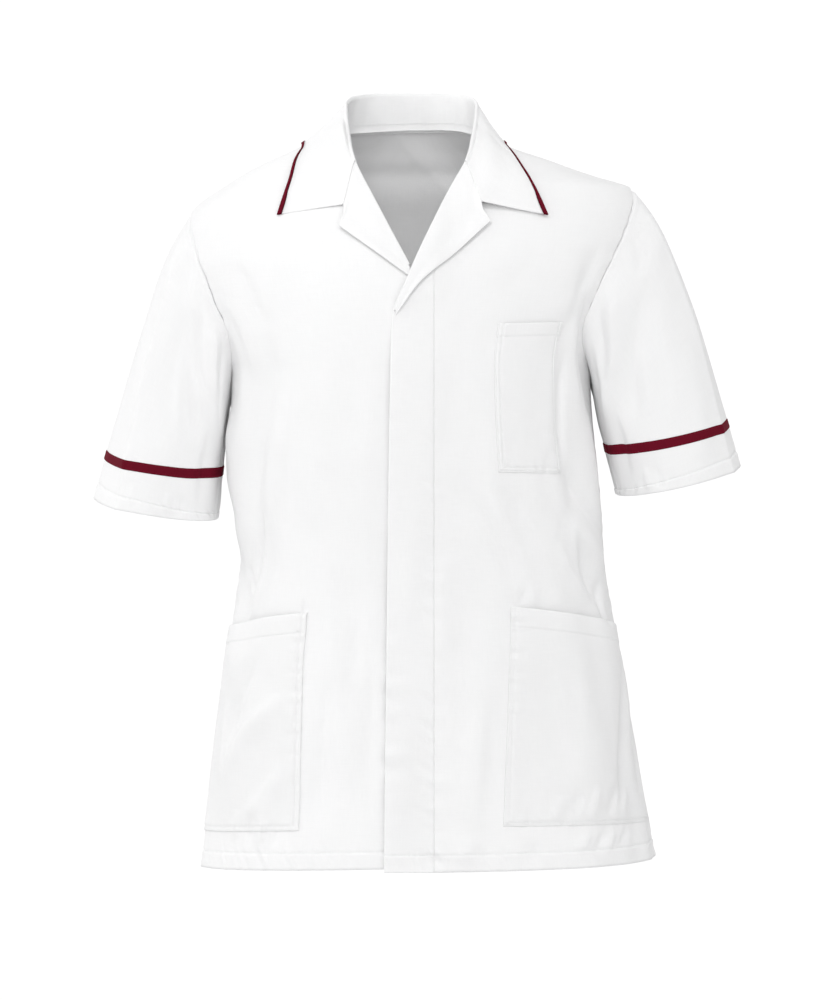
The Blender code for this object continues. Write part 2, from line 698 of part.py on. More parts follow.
def to_sleeve_middle(side):
    size = SLEEVES[side]

    def inwards(point):
        share = min(max((point.z + 120) / (size.hem_z + 120), 0), 1)
        return Vector((mix(SLEEVE_AXIS_X, size.hem_x, share) * SIGN[side] - point.x, -point.y, 0))

    return inwards


def sleeve(side, material, collection):
    def place(across, down):
        return sleeve_point(side, across * 360 * SIGN[side], mix(SLEEVE_START, 1.0, down))

    mesh = grid_sheet("sleeve_" + side, *GRIDS["sleeve"], place, closed=True)
    return cloth_solid("sleeve_" + side, mesh, CLOTH, material, collection, to_sleeve_middle(side))


def sleeve_trim(side, material, collection):
    """Contrast tape round a sleeve, parallel to its hem."""
    def place(across, down):
        turn = across * 360 * SIGN[side]
        low_part = sleeve_point(side, turn, 1 - SLEEVE_TAPE_SPAN) - sleeve_point(side, turn, 1.0)
        from_hem = SLEEVE_TAPE_FROM_HEM - SLEEVE_TAPE_WIDTH * (down - 0.5)
        return sleeve_point(side, turn, 1 - from_hem * SLEEVE_TAPE_SPAN / low_part.length, SLEEVE_TAPE_LIFT)

    name = "sleeve_trim_" + side
    mesh = grid_sheet(name, GRIDS["sleeve"][0], 1, place, closed=True)
    return cloth_solid(name, mesh, TAPE, material, collection, to_sleeve_middle(side))


# ---------------------------------------------------------------- pockets
def pocket(name, material, collection):
    """Patch pocket lying on its front, its mouth standing off a little."""
    size = POCKETS[name]
    sign = SIGN[size.side]

    def corner(spot):
        x, z = spot
        return (HIP_POCKET_TURN if x is None else abs(turn_at(x * sign, z))), z

    def place(across, down):
        top_start, top_end = corner(size.inner_top), corner(size.outer_top)
        low_start, low_end = corner(size.inner_low), corner(size.outer_low)
        turn = mix(mix(top_start[0], top_end[0], across), mix(low_start[0], low_end[0], across), down)
        z = mix(mix(top_start[1], top_end[1], across), mix(low_start[1], low_end[1], across), down)
        opened = math.sin(math.pi * min(across + MOUTH_END, 1 - MOUTH_END))
        mouth = size.stand * opened * (1 - smooth(down / MOUTH_DEPTH))
        return cloth_point(turn * sign, z, size.lift + mouth)

    mesh = grid_sheet(name, *GRIDS[name if name in GRIDS else "hip_pocket"], place)
    return cloth_solid(name, mesh, CLOTH, material, collection, to_axis)


def main():
    for old in list(bpy.data.objects):
        bpy.data.objects.remove(old, do_unlink=True)
    collection = bpy.data.collections.new("work_tunic")
    bpy.context.scene.collection.children.link(collection)
    white = cloth_material("white_cloth", WHITE, 0.85)
    maroon = cloth_material("maroon_tape", MAROON, 0.7)
    back_panel(white.copy(), collection)
    for side in ("right", "left"):
        front_panel(side, white.copy(), collection)
        lapel(side, white.copy(), collection)
        sleeve(side, white.copy(), collection)
        sleeve_trim(side, maroon.copy(), collection)
    placket(white.copy(), collection)
    collar(white.copy(), collection)
    collar_trim(maroon.copy(), collection)
    for name in POCKETS:
        pocket(name, white.copy(), collection)
    bpy.data.materials.remove(white)
    bpy.data.materials.remove(maroon)


main()
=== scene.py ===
"""Short-sleeved work tunic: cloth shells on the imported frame, with creases, seams and stitches.

Millimetres in the tables, metres in the meshes. X runs to the wearer's left, Y to the back, Z up.
"""
import math
from collections import namedtuple

import bmesh
import bpy
import numpy as np
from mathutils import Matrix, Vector


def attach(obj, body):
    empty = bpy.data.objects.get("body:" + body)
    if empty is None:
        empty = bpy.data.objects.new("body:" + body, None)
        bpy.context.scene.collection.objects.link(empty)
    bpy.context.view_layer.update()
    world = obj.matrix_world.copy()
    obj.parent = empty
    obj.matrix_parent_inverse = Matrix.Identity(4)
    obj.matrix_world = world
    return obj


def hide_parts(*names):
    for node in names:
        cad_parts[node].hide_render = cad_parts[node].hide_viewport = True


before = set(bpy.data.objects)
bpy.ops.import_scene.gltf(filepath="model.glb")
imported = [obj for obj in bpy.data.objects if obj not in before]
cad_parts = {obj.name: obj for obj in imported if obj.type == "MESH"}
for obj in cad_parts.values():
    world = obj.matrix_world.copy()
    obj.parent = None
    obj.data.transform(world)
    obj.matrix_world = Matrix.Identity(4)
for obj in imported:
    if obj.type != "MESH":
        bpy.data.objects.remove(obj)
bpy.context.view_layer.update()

MM = 0.001

# ---------------------------------------------------------------- dimensions (mm)
SQUARENESS = 0.85           # 1 is an ellipse, less is squarer
SHIRTING = 0.8              # wall of one layer of cloth
DOUBLED = 0.9               # wall of the collar and of the placket
TAPE = 0.4                  # wall of the contrast tape
SEAM_DIP = 1.6              # how far two panels sink where they are joined

BACK_NECK_Z = 8.0
HEM_BACK_Z = -736.0
HEM_FRONT_Z = {"right": -727.0, "left": -731.0}
HEM_SIDE_Z = {"right": -737.0, "left": -727.0}
HEM_BAND = 16.5             # from the hem up to its stitches
SLEEVE_HEM_BAND = 14.0

SHOULDER_TIP_Z = {"right": -86.0, "left": -60.0}
NECK_POINT_Z = {"right": 0.0, "left": -8.0}
NECK_DROP = {"right": 1.0, "left": 2.6}     # how late the back neckline comes down to it
UNDERARM_Z = {"right": -250.0, "left": -240.0}
ARMHOLE_TURN = 28.0

PLACKET_EDGE_X = -20.5
PLACKET_HEM_X = -27.0
PLACKET_SEAM_X = 21.35
PLACKET_TOP_Z = -106.0
UNDERLAP_X = 22.0

COLLAR_CREST = 2.3
COLLAR_LIFT = 2.3
COLLAR_TRIM_WIDTH = 5.5
GORGE_Z = -39.0             # where the neckline ends in front
NECK_SIDE_AT = 0.56         # share of half the neckline at which the shoulder seam meets it
ROLL_NARROWER = {"right": 0.0, "left": 3.0}
NOTCH = (67.0, -84.0)       # x and z of the notch between collar and lapel
NOTCH_STAND = {"right": 0.6, "left": 6.5}   # how far the collar stands off beside its notch
LAPEL_LIFT = 2.3
SLEEVE_TAPE_WIDTH = 9.0
SLEEVE_TAPE_FROM_HEM = 46.0

SIGN = {"right": -1.0, "left": 1.0}         # of x on each of the wearer's sides


def rows_of(kind, *rows):
    """A table of rows whose columns have the names that kind gives."""
    return tuple(kind(*row) for row in rows)


# ---------------------------------------------------------------- the body form
WAIST_Z = -430.0
BODY_AXIS_Y = 20            # an upright line inside the body, which its cloth faces away from
Depth = namedtuple("Depth", "z front back ridge")
DEPTHS = rows_of(
    Depth, (14, 12, 74, 17), (0, 32, 84, 16), (-20, 53, 93, 15), (-40, 71, 100, 14), (-60, 86, 106, 13),
    (-100, 109, 115, 11), (-147, 128, 121, 8), (-200, 138, 123, 5), (-250, 141, 120, 2),
    (-330, 138, 112, 0), (-430, 133, 105, 0), (-530, 136, 111, 0), (-640, 143, 121, 0), (-745, 149, 128, 0),
)

Half = namedtuple("Half", "z width")
HALVES = {
    "right": rows_of(
        Half, (14, 50), (8, 63), (0, 80), (-10, 98), (-20, 119), (-41, 162), (-60, 191), (-75, 212),
        (-86, 222), (-110, 230), (-133, 231), (-155, 225), (-178, 216), (-200, 202), (-225, 190),
        (-250, 182), (-290, 181), (-345, 179), (-397, 176), (-430, 172), (-462, 175), (-494, 179),
        (-530, 186), (-580, 192), (-640, 199), (-690, 204), (-745, 211),
    ),
    "left": rows_of(
        Half, (12, 48), (4, 60), (-8, 79), (-17, 97), (-24, 115), (-32, 138), (-42, 164), (-50, 188),
        (-57, 212), (-60, 219), (-75, 228), (-93, 230), (-113, 227), (-133, 220), (-155, 209), (-180, 196),
        (-204, 186), (-240, 178), (-290, 180), (-345, 186), (-397, 190), (-430, 192), (-470, 198),
        (-500, 203), (-535, 209), (-580, 217), (-640, 227), (-690, 236), (-745, 245),
    ),
}

# Largest folds: soft ridges (height over 0) and troughs, from one chart point to another.
Fold = namedtuple("Fold", "turn z to_turn to_z width height")
FOLDS = rows_of(
    Fold, (-56, -240, -60, -520, 26, -3.5), (-44, -330, -41, -640, 28, 3.0),
    (-76, -280, -72, -440, 22, 3.5), (-84, -420, -58, -520, 20, -4.0), (-82, -470, -52, -580, 20, 3.5),
    (-40, -560, -66, -690, 24, 3.5), (56, -300, 54, -520, 26, -3.5), (72, -280, 68, -460, 22, 3.5),
    (50, -390, 74, -450, 20, 4.0), (56, -430, 82, -495, 20, -4.0), (70, -560, 66, -735, 24, -4.0),
    (46, -600, 40, -735, 26, 3.5), (15, -375, 31, -478, 20, 2.5), (27, -520, 24, -700, 22, -2.5),
    (-22, -520, -27, -700, 24, -2.5), (-72, -600, -68, -735, 24, -3.0), (112, -300, 118, -560, 26, -4.0),
    (140, -420, 136, -735, 30, 4.0), (162, -380, 166, -735, 30, -4.0), (-112, -300, -118, -560, 26, -4.0),
    (-138, -400, -134, -735, 30, 4.0), (-164, -420, -160, -735, 30, -3.5), (128, -180, 150, -300, 26, 3.5),
    (-128, -185, -150, -310, 26, 3.5),
)

# ---------------------------------------------------------------- panels
# A station is one row of a panel: where it starts at the neckline or front edge, in x and z
# towards the panel's own side, and the share of the armhole where it ends; below that, the side seam.
Station = namedtuple("Station", "at x z armhole")
FRONT = {
    "right": rows_of(
        Station, (0.00, 80, 0, 0.00), (0.06, 74, -12, 0.13), (0.13, 57, -40, 0.28),
        (0.20, 41, -69, 0.44), (0.28, 21, -108, 0.62), (0.37, -4, -153, 0.82),
        (0.45, -UNDERLAP_X, -198, 1.00), (0.55, -UNDERLAP_X, -290, None),
        (1.00, -UNDERLAP_X, HEM_FRONT_Z["right"], None),
    ),
    "left": rows_of(
        Station, (0.00, 79, -8, 0.00), (0.06, 71, -17, 0.13), (0.13, 54, -38, 0.28),
        (0.20, 37, -66, 0.46), (0.26, PLACKET_SEAM_X, -101, 0.60),
        (0.33, PLACKET_SEAM_X, -140, 0.78), (0.45, PLACKET_SEAM_X, -205, 1.00),
        (0.55, PLACKET_SEAM_X, -290, None),
        (1.00, PLACKET_SEAM_X, HEM_FRONT_Z["left"], None),
    ),
}

# Half of the back: how far down the back centre and the armhole or side seam each row lies.
BackRow = namedtuple("BackRow", "at centre_z armhole")
BACK = rows_of(
    BackRow, (0.00, BACK_NECK_Z, 0.00), (0.10, -40, 0.20), (0.20, -96, 0.42), (0.30, -156, 0.66),
    (0.38, -210, 0.85), (0.45, -256, 1.00), (0.55, -325, 1.00), (1.00, HEM_BACK_Z, 1.00),
)
BACK_UNDERARM_AT = 0.45
BACK_NECK_SHARE = 0.40      # share of a top row that is neckline; the rest is shoulder seam
BACK_TOP_REACH = 0.34       # how far down the panel the shape of its top edge fades out

# Sleeve: hem ring and the way each path leaves the armhole and reaches the hem.
Sleeve = namedtuple("Sleeve", "hem_x hem_y hem_z out_x out_z leave_top leave_under reach_top reach_under")
SLEEVES = {
    "right": Sleeve(255.5, -2, -380, 59.5, 10, (92, -108), (16, -112), (85, -280), (16, -120)),
    "left": Sleeve(266.0, -2, -352, 60.0, 14, (118, -72), (20, -105), (78, -270), (34, -115)),
}
SLEEVE_HALF_DEPTH = 62.0
SLEEVE_FRONT_DROP = 8.0
SLEEVE_FULLNESS = 26.0
SLEEVE_CREASE = 1.35        # over 1 pinches the ring to the pressed crease on its outer side

# Folds of a sleeve: turn round the ring (0 outer edge, 90 front, 180 underarm) and share down.
SleeveFold = namedtuple("SleeveFold", "turn share to_turn to_share width height")
SLEEVE_FOLDS = rows_of(
    SleeveFold, (70, 0.25, 118, 0.62, 15, -4.0), (98, 0.10, 142, 0.50, 13, 4.0),
    (40, 0.45, 66, 0.95, 17, 3.0), (-72, 0.22, -118, 0.60, 16, -4.0), (-44, 0.40, -66, 0.92, 18, 3.0),
)

# Collar, half of it, from the back centre to its front end: the top of its roll in space, and the
# chart turn of its outer edge on each side.
Collar = namedtuple("Collar", "at roll_x roll_y roll_z edge_right edge_left edge_z")
COLLAR = rows_of(
    Collar, (0.00, 0, 102, 45, 180, 180, -14), (0.18, 34, 98, 44.5, 154, 152, -15),
    (0.36, 60, 73, 39, 123, 121, -15.5), (0.52, 67, 38, 28, 94, 94, -15),
    (0.56, 66.8, 29, 22.5, 72, 70, -17.5), (0.60, 66.5, 20, 17, 53.7, 51.4, -26),
    (0.68, 65, 3, 5, 43, 37.9, -40), (0.76, 63, -16, -8, 37.6, 30.6, -53.5),
    (0.80, 62, -26, -14, 35.8, 28.3, -60.2), (0.84, 61, -36, -20, 34.1, 28.8, -67),
    (1.00, 56, -58, -37, 31.7, 31.4, -94),
)

# Where the collar's outer edge lies over each front: how far out it is at each height.
COLLAR_EDGE = {
    "right": rows_of(
        Half, (-20, 107.5), (-38.4, 115.5), (-56.7, 119.7), (-74.5, 124.9), (-94, 130.4),
    ),
    "left": rows_of(
        Half, (-20, 94.0), (-30.6, 100.1), (-43.3, 107.4), (-65.8, 120.1), (-94, 131.6),
    ),
}

# Lapels: the roll line and the free edge, x towards the lapel's own side.
Lapel = namedtuple("Lapel", "at roll_x roll_z edge_x edge_z")
LAPELS = {
    "right": rows_of(
        Lapel, (0.00, 54.5, -41, 63.8, -85.5), (0.22, 44.0, -62, 70.5, -106.5),
        (0.60, 24.0, -101, 39, -129), (1.00, 1.5, -144, -1, -158),
    ),
    "left": rows_of(
        Lapel, (0.00, 49.5, -43.5, 63.5, -83), (0.22, 38.5, -64, 77, -101), (0.50, 19.5, -104, 39, -136),
        (0.75, 1.0, -144, 9, -162), (1.00, -17.5, -189, -15.5, -194),
    ),
}

# Pockets: corners as x and z on the form, inner edge first, where no x is the side seam; how far
# the mouth stands off, the turned band at its top, how far in the stitches run, and a seed.
Pocket = namedtuple("Pocket", "side inner_top outer_top inner_low outer_low stand band stitches seed")
POCKETS = {
    "chest_pocket": Pocket(
        "left", (83.5, -201), (147, -198), (83.5, -345), (147, -346), 0.3, 13.0, (1.4, 5.0), 71),
    "hip_pocket_right": Pocket(
        "right", (101.5, -481), (None, -500), (109.5, -692), (None, -701), 1.6, 19.0, (4.6,), 72),
    "hip_pocket_left": Pocket(
        "left", (96, -475), (None, -497), (88, -687), (None, -690), 1.6, 19.0, (1.3, 3.6), 73),
}
HIP_POCKET_TURN = 87.5      # where the hip pockets meet the side seams

# ---------------------------------------------------------------- creases
# On the front, in the frontal plane: from one point to another, bowed sideways by bow, with its
# half width and height; a height under 0 is a trough.
Crease = namedtuple("Crease", "x z to_x to_z bow width height")
FRONT_CREASES = rows_of(
    Crease, (-139, -376, -163, -495, 1, 5, 1.0), (-145, -380, -169, -499, 1, 4, -2.3),
    (-156, -400, -177, -500, 1, 9, -1.4), (-148, -198, -159, -406, 5, 15, -2.2),
    (-178, -266, -173, -391, 0, 11, 2.2), (-124, -266, -145, -416, 4, 15, 1.8),
    (-79, -430, -65, -556, 6, 17, -1.3), (-56, -469, -79, -662, -6, 15, 1.6),
    (-83, -527, -91, -696, 3, 12, -1.3), (-37, -488, -46, -710, 0, 9, -1.1),
    (-116, -556, -189, -662, -8, 9, 3.4), (-143, -517, -180, -628, -6, 10, -3.2),
    (-122, -625, -166, -689, 4, 9, 1.4), (-180, -565, -191, -662, 2, 7, 1.2),
    (-175, -707, -166, -674, 0, 4, 0.9), (-161, -710, -153, -672, 1, 4, -0.9),
    (-149, -710, -140, -678, 0, 4, 0.9), (-136, -710, -130, -683, -1, 4, -0.7),
    (-108, -116, -124, -212, 5, 17, -0.8), (-178, -128, -143, -212, 6, 10, -1.4),
    (-184, -171, -155, -261, 5, 10, 1.4), (-65, -117, -157, -86, 5, 15, 0.9),
    (-120, -343, -108, -430, -3, 12, -0.9), (-60, -208, -71, -343, 4, 20, -0.8),
    (54, -364, 105, -471, 8, 9, -1.7), (66, -355, 116, -459, 8, 10, 1.3), (77, -556, 74, -686, 1, 8, -1.3),
    (62, -565, 56, -710, 2, 12, 1.1), (39, -430, 48, -556, 3, 14, -1), (151, -222, 149, -343, -2, 7, -2),
    (173, -164, 179, -304, 3, 9, -2.6), (163, -179, 167, -304, 2, 8, 1.6),
    (129, -343, 183, -435, -6, 9, 1.8), (143, -326, 189, -416, -6, 8, -2.2),
    (161, -393, 190, -480, -5, 8, -2.8), (143, -411, 179, -473, -4, 8, 1.6),
    (201, -492, 203, -700, 0, 9, -2.4), (124, -527, 143, -652, 6, 14, -1.6),
    (160, -517, 168, -662, 3, 12, 1.1), (217, -530, 229, -700, 2, 10, -1.6),
    (145, -657, 136, -684, 0, 4, 0.9), (163, -652, 153, -684, 1, 4, -0.9),
    (180, -648, 170, -686, 0, 4.5, 1), (201, -648, 188, -684, 1, 5, -1), (215, -652, 203, -683, 0, 4, 0.9),
    (173, -692, 162, -716, 0, 4, 0.9), (186, -691, 176, -718, 1, 4, -0.9),
    (199, -691, 190, -716, 0, 4, 0.9), (213, -689, 203, -714, 0, 4, -0.8), (64, -693, 39, -726, 2, 8, 0.9),
    (124, -697, 105, -728, 1, 7, -0.8), (182, -117, 156, -181, 4, 12, -1.3),
    (129, -107, 85, -179, 5, 17, -0.7), (167, -130, 143, -208, 3, 10, 1),
    (107, -457, 105, -476, 0, 3, -1.1), (114, -455, 124, -475, 0, 4, 0.8),
    (27, -217, 39, -343, 3, 18, -0.8), (85, -353, 124, -430, 4, 12, -1), (-105, -469, -107, -486, 0, 3, -1),
    (185, -446, 194, -502, 0, 5, -1.5), (-166, -430, -158, -468, 0, 3, -1.0),
)

# On the sides and the back, by turn and height.
BackCrease = namedtuple("BackCrease", "turn z to_turn to_z bow width height")
BACK_CREASES = rows_of(
    BackCrease, (100, -270, 118, -420, 6, 11, 1.8), (106, -262, 128, -400, 7, 10, -1.9),
    (122, -120, 150, -196, 5, 14, -1.2), (126, -150, 160, -238, 8, 12, 1.5),
    (112, -400, 146, -452, -6, 10, 2.0), (108, -425, 140, -480, -6, 9, -2.1),
    (116, -470, 152, -505, -4, 9, 1.4), (150, -500, 146, -700, 5, 14, 1.6),
    (158, -480, 157, -655, -4, 11, -1.7), (174, -420, 178, -640, 5, 14, 1.4),
    (100, -560, 104, -720, 3, 10, -1.5), (112, -590, 115, -730, -3, 12, 1.5),
    (-102, -275, -116, -410, -6, 10, 1.9), (-108, -258, -130, -380, -8, 11, -1.7),
    (-120, -130, -146, -215, -6, 13, 1.2), (-130, -165, -162, -262, -7, 12, -1.6),
    (-110, -395, -150, -458, 7, 10, -2.0), (-106, -428, -136, -492, 5, 9, 2.0),
    (-118, -482, -158, -520, 5, 9, -1.3), (-148, -520, -143, -715, -5, 13, -1.6),
    (-160, -470, -158, -690, 4, 12, 1.5), (-172, -500, -176, -700, -4, 12, -1.2),
    (-100, -550, -103, -725, -3, 10, 1.6), (-122, -600, -120, -732, 3, 11, -1.3),
    (140, -700, 141, -736, 0, 5, 0.8), (-165, -705, -164, -736, 0, 5, 0.8),
)

# On a sleeve: turn round it from its outer edge, positive to the front, and share down.
SleeveCrease = namedtuple("SleeveCrease", "turn share to_turn to_share bow width height")
SLEEVE_CREASES = {
    "right": rows_of(
        SleeveCrease, (88, 0.10, 118, 0.42, 5, 8, -1.9), (104, 0.06, 132, 0.40, 6, 7, 1.7),
        (118, 0.10, 146, 0.50, 5, 8, -1.8), (96, 0.34, 124, 0.68, -5, 9, 1.6),
        (74, 0.30, 92, 0.72, 6, 11, -1.4), (128, 0.48, 140, 0.94, 3, 8, -1.4),
        (60, 0.03, 74, 0.22, 4, 9, -1.0), (24, 0.05, 52, 0.26, 4, 9, 0.9),
        (100, 0.86, 104, 0.99, 0, 4, 0.8), (112, 0.86, 117, 0.99, 0, 4, -0.8),
        (70, 0.88, 68, 0.99, 0, 4, 0.6), (-90, 0.12, -120, 0.46, -5, 9, -1.8),
        (-108, 0.08, -140, 0.44, -5, 8, 1.8), (-70, 0.32, -88, 0.80, 5, 12, 1.3),
        (-120, 0.50, -132, 0.92, 3, 9, -1.4),
    ),
    "left": rows_of(
        SleeveCrease, (92, 0.08, 122, 0.44, 5, 8, 1.8), (104, 0.05, 138, 0.46, 6, 8, -2.2),
        (120, 0.14, 148, 0.56, 5, 8, 1.6), (84, 0.30, 112, 0.74, -6, 10, -1.5),
        (66, 0.34, 80, 0.80, 5, 12, 1.2), (130, 0.50, 144, 0.95, 3, 8, -1.6),
        (58, 0.04, 70, 0.25, 4, 9, -0.9), (28, 0.06, 50, 0.30, 4, 10, 0.8),
        (118, 0.84, 122, 0.99, 0, 4, 0.9), (106, 0.86, 108, 0.99, 0, 4, -0.7),
        (-88, 0.10, -118, 0.48, -5, 9, 1.7), (-104, 0.06, -136, 0.42, -6, 8, -1.9),
        (-72, 0.34, -90, 0.82, 5, 12, -1.3), (-122, 0.52, -134, 0.94, 3, 9, 1.4),
    ),
}
PRESSED_TURN = {"right": 44.0, "left": 33.0}    # where the ironed crease of each sleeve runs
PRESSED_DRIFT = {"right": 16.0, "left": 4.0}    # how far it has moved to the front at the hem
TENT = {"right": 9.0, "left": 1.5}              # how far the cloth stands out along it


# ---------------------------------------------------------------- smooth tables
def hermite(start, end, leave, reach, share):
    """Cubic from start to end with the slopes leave and reach."""
    square = share * share
    cube = square * share
    return (start * (2 * cube - 3 * square + 1) + leave * (cube - 2 * square + share)
            + end * (3 * square - 2 * cube) + reach * (cube - square))


def read(table, column, key, at):
    """Values of a column of a table, read smoothly between its rows."""
    rows = sorted(table, key=lambda row: getattr(row, key))
    keys = np.array([getattr(row, key) for row in rows], float)
    values = np.array([getattr(row, column) for row in rows], float)
    secants = np.diff(values) / np.diff(keys)
    before, after = secants[:-1], secants[1:]
    turning = before * after <= 0
    inner = np.where(turning, 0.0, 2 * before * after / np.where(turning, 1.0, before + after))
    slopes = np.concatenate(([secants[0]], inner, [secants[-1]]))
    at = np.clip(np.asarray(at, float), keys[0], keys[-1])
    low = np.clip(np.searchsorted(keys, at, side="right") - 1, 0, len(keys) - 2)
    span = keys[low + 1] - keys[low]
    share = (at - keys[low]) / span
    return hermite(values[low], values[low + 1], slopes[low] * span, slopes[low + 1] * span, share)


def mix(start, end, share):
    return start + (end - start) * share


def smooth(share):
    share = np.clip(share, 0.0, 1.0)
    return share * share * (3 - 2 * share)


def rise(value, start, over):
    """0 up to a start, and from there smoothly up to 1."""
    return smooth((value - start) / over)


def bump(distance, width):
    return np.exp(-(distance / width) ** 2)


def unit(vectors):
    return vectors / np.maximum(np.linalg.norm(vectors, axis=-1, keepdims=True), 1e-9)


def points_of(x, y, z):
    return np.stack(np.broadcast_arrays(x, y, z), axis=-1).astype(float)


def on_cut(x, y):
    """Points of a piece's flat cut, in millimetres of cloth."""
    return points_of(x, y, 0)[:, :2]


def surface_normal(surface, across, down, step):
    """Normals of a surface at its shares, from points a step to each side."""
    over = surface(np.minimum(across + step, 1), down) - surface(np.maximum(across - step, 0), down)
    on = surface(across, np.minimum(down + step, 1)) - surface(across, np.maximum(down - step, 0))
    return unit(np.cross(over, on))


def scaled(vectors, amount):
    return vectors * np.asarray(amount, float)[..., None]


def wrapped(turn):
    """The same turn between -180 and 180."""
    return (turn + 180) % 360 - 180


# ---------------------------------------------------------------- the body form as a chart
def half_width(x, z):
    return np.where(x >= 0, read(HALVES["left"], "width", "z", z), read(HALVES["right"], "width", "z", z))


def form_point(turn, z):
    """Points of the body form without its folds."""
    turn, z = np.broadcast_arrays(np.asarray(turn, float), np.asarray(z, float))
    angle = np.radians(turn)
    across, along = np.sin(angle), np.cos(angle)
    depth = np.where(along >= 0, read(DEPTHS, "front", "z", z), read(DEPTHS, "back", "z", z))
    x = half_width(across, z) * np.sign(across) * np.abs(across) ** SQUARENESS
    y = read(DEPTHS, "ridge", "z", z) - depth * np.sign(along) * np.abs(along) ** SQUARENESS
    return points_of(x, y, z)


NORMAL_TURN, NORMAL_RISE = 0.8, 1.5     # steps to the points that give the form's normal


def form_normal(turn, z):
    round_step = form_point(turn + NORMAL_TURN, z) - form_point(turn - NORMAL_TURN, z)
    rise_step = form_point(turn, z + NORMAL_RISE) - form_point(turn, z - NORMAL_RISE)
    return unit(np.cross(round_step, rise_step))


def turn_at(x, z):
    """Turn of the front point at a given x."""
    share = np.minimum(np.abs(x) / half_width(x, z), 1.0)
    return np.sign(x) * np.degrees(np.arcsin(share ** (1 / SQUARENESS)))


GIRTH_TURNS = np.linspace(-180, 180, 721)       # every half degree
GIRTH_RING = form_point(GIRTH_TURNS, WAIST_Z)
GIRTH = np.concatenate(([0.0], np.cumsum(np.linalg.norm(np.diff(GIRTH_RING, axis=0), axis=1))))
GIRTH -= np.interp(0.0, GIRTH_TURNS, GIRTH)


def girth(turn):
    """Millimetres of cloth round the waist from the front centre to a turn."""
    return np.interp(wrapped(turn), GIRTH_TURNS, GIRTH)


NEARLY_ROUND = 180.0 - 1e-6
HALF_GIRTH = float(girth(NEARLY_ROUND))

STEEP_SIDE, SOFT_SIDE = 0.75, 1.45      # a crease is narrower on one side than on the other
CREASE_FADE, CREASE_START = 2.6, 0.06   # how soon it is full, and how much of it its ends keep
CREASE_OPENING = 0.5                    # how much wider it grows from its start to its end


def crease_sum(creases, u, v):
    """Height of a list of creases (u, v, to_u, to_v, bow, width, height) at cloth points."""
    height = np.zeros(np.broadcast(u, v).shape)
    for order, (from_u, from_v, to_u, to_v, bow, width, tall) in enumerate(creases):
        run_u, run_v = to_u - from_u, to_v - from_v
        length = math.hypot(run_u, run_v)
        along = ((u - from_u) * run_u + (v - from_v) * run_v) / length ** 2
        off = ((v - from_v) * run_u - (u - from_u) * run_v) / length
        inside = np.clip(along, 0, 1)
        off = off - bow * 4 * inside * (1 - inside)
        beyond = np.maximum(np.abs(along - 0.5) - 0.5, 0) * length
        steep = np.where(off * (1 if order % 2 else -1) > 0, STEEP_SIDE, SOFT_SIDE)
        fade = (smooth(inside * CREASE_FADE + CREASE_START)
                * smooth((1 - inside) * CREASE_FADE + CREASE_START))
        profile = bump(off, width * steep * (0.75 + CREASE_OPENING * inside))
        height += tall * fade * profile * bump(beyond, width)
    return height


# Unevenness of cloth that hangs free: seed of its draws, height, and its shortest and longest wave.
BODY_UNEVEN = (11, 1.6, 34, 120)
BODY_FINE_UNEVEN = (14, 0.4, 17, 46)
SLEEVE_UNEVEN = {"right": (52, 1.4, 36, 110), "left": (51, 1.4, 36, 110)}
COLLAR_UNEVEN = (61, 0.7, 50, 150)
STAND_UNEVEN = (63, 0.8, 20, 70)
WAVES = 9
HEADINGS = 0.55             # how far the waves' headings spread
ALONG_SLOWER = 0.6          # waves are longer down the cloth than across it


def undulation(u, v, seed, amplitude, shortest, longest):
    """A few low crossing waves."""
    dice = np.random.default_rng(seed)
    height = np.zeros(np.broadcast(u, v).shape)
    for _ in range(WAVES):
        wavelength = shortest * (longest / shortest) ** dice.random()
        heading = dice.normal(0, HEADINGS)
        phase = dice.random() * 2 * math.pi
        across = u * math.cos(heading) + v * math.sin(heading) * ALONG_SLOWER
        height += np.sin(across * 2 * math.pi / wavelength + phase) * wavelength / longest
    return height * amplitude / math.sqrt(WAVES)


FRONT_STRENGTH, BACK_STRENGTH, SLEEVE_STRENGTH = 2.4, 2.5, 2.1      # what multiplies creases' heights
TALLEST = 6.0               # of the creases of the front


def chart_creases():
    """Creases of the front and the back as rows in millimetres of girth and height."""
    rows = []
    for crease in FRONT_CREASES:
        start = float(girth(turn_at(crease.x, crease.z)))
        end = float(girth(turn_at(crease.to_x, crease.to_z)))
        height = float(np.clip(crease.height * FRONT_STRENGTH, -TALLEST, TALLEST))
        rows.append((start, crease.z, end, crease.to_z, crease.bow, crease.width, height))
    for crease in BACK_CREASES:
        start, end = float(girth(crease.turn)), float(girth(crease.to_turn))
        height = crease.height * BACK_STRENGTH
        rows.append((start, crease.z, end, crease.to_z, crease.bow, crease.width, height))
    return rows


BODY_CREASES = chart_creases()

BODY_MM = (3, 1)            # millimetres of cloth to a degree of turn and to a step of height
SLEEVE_MM = (1.1, 250)      # and to a degree and a whole share of a sleeve
FOLD_FADE, FOLD_START = 3, 0.2
HEM_FOLD_FADE, HEM_FOLD_START = 2, 0.1
HEM_FOLD_Z = -730           # a fold that ends below this runs on through the hem


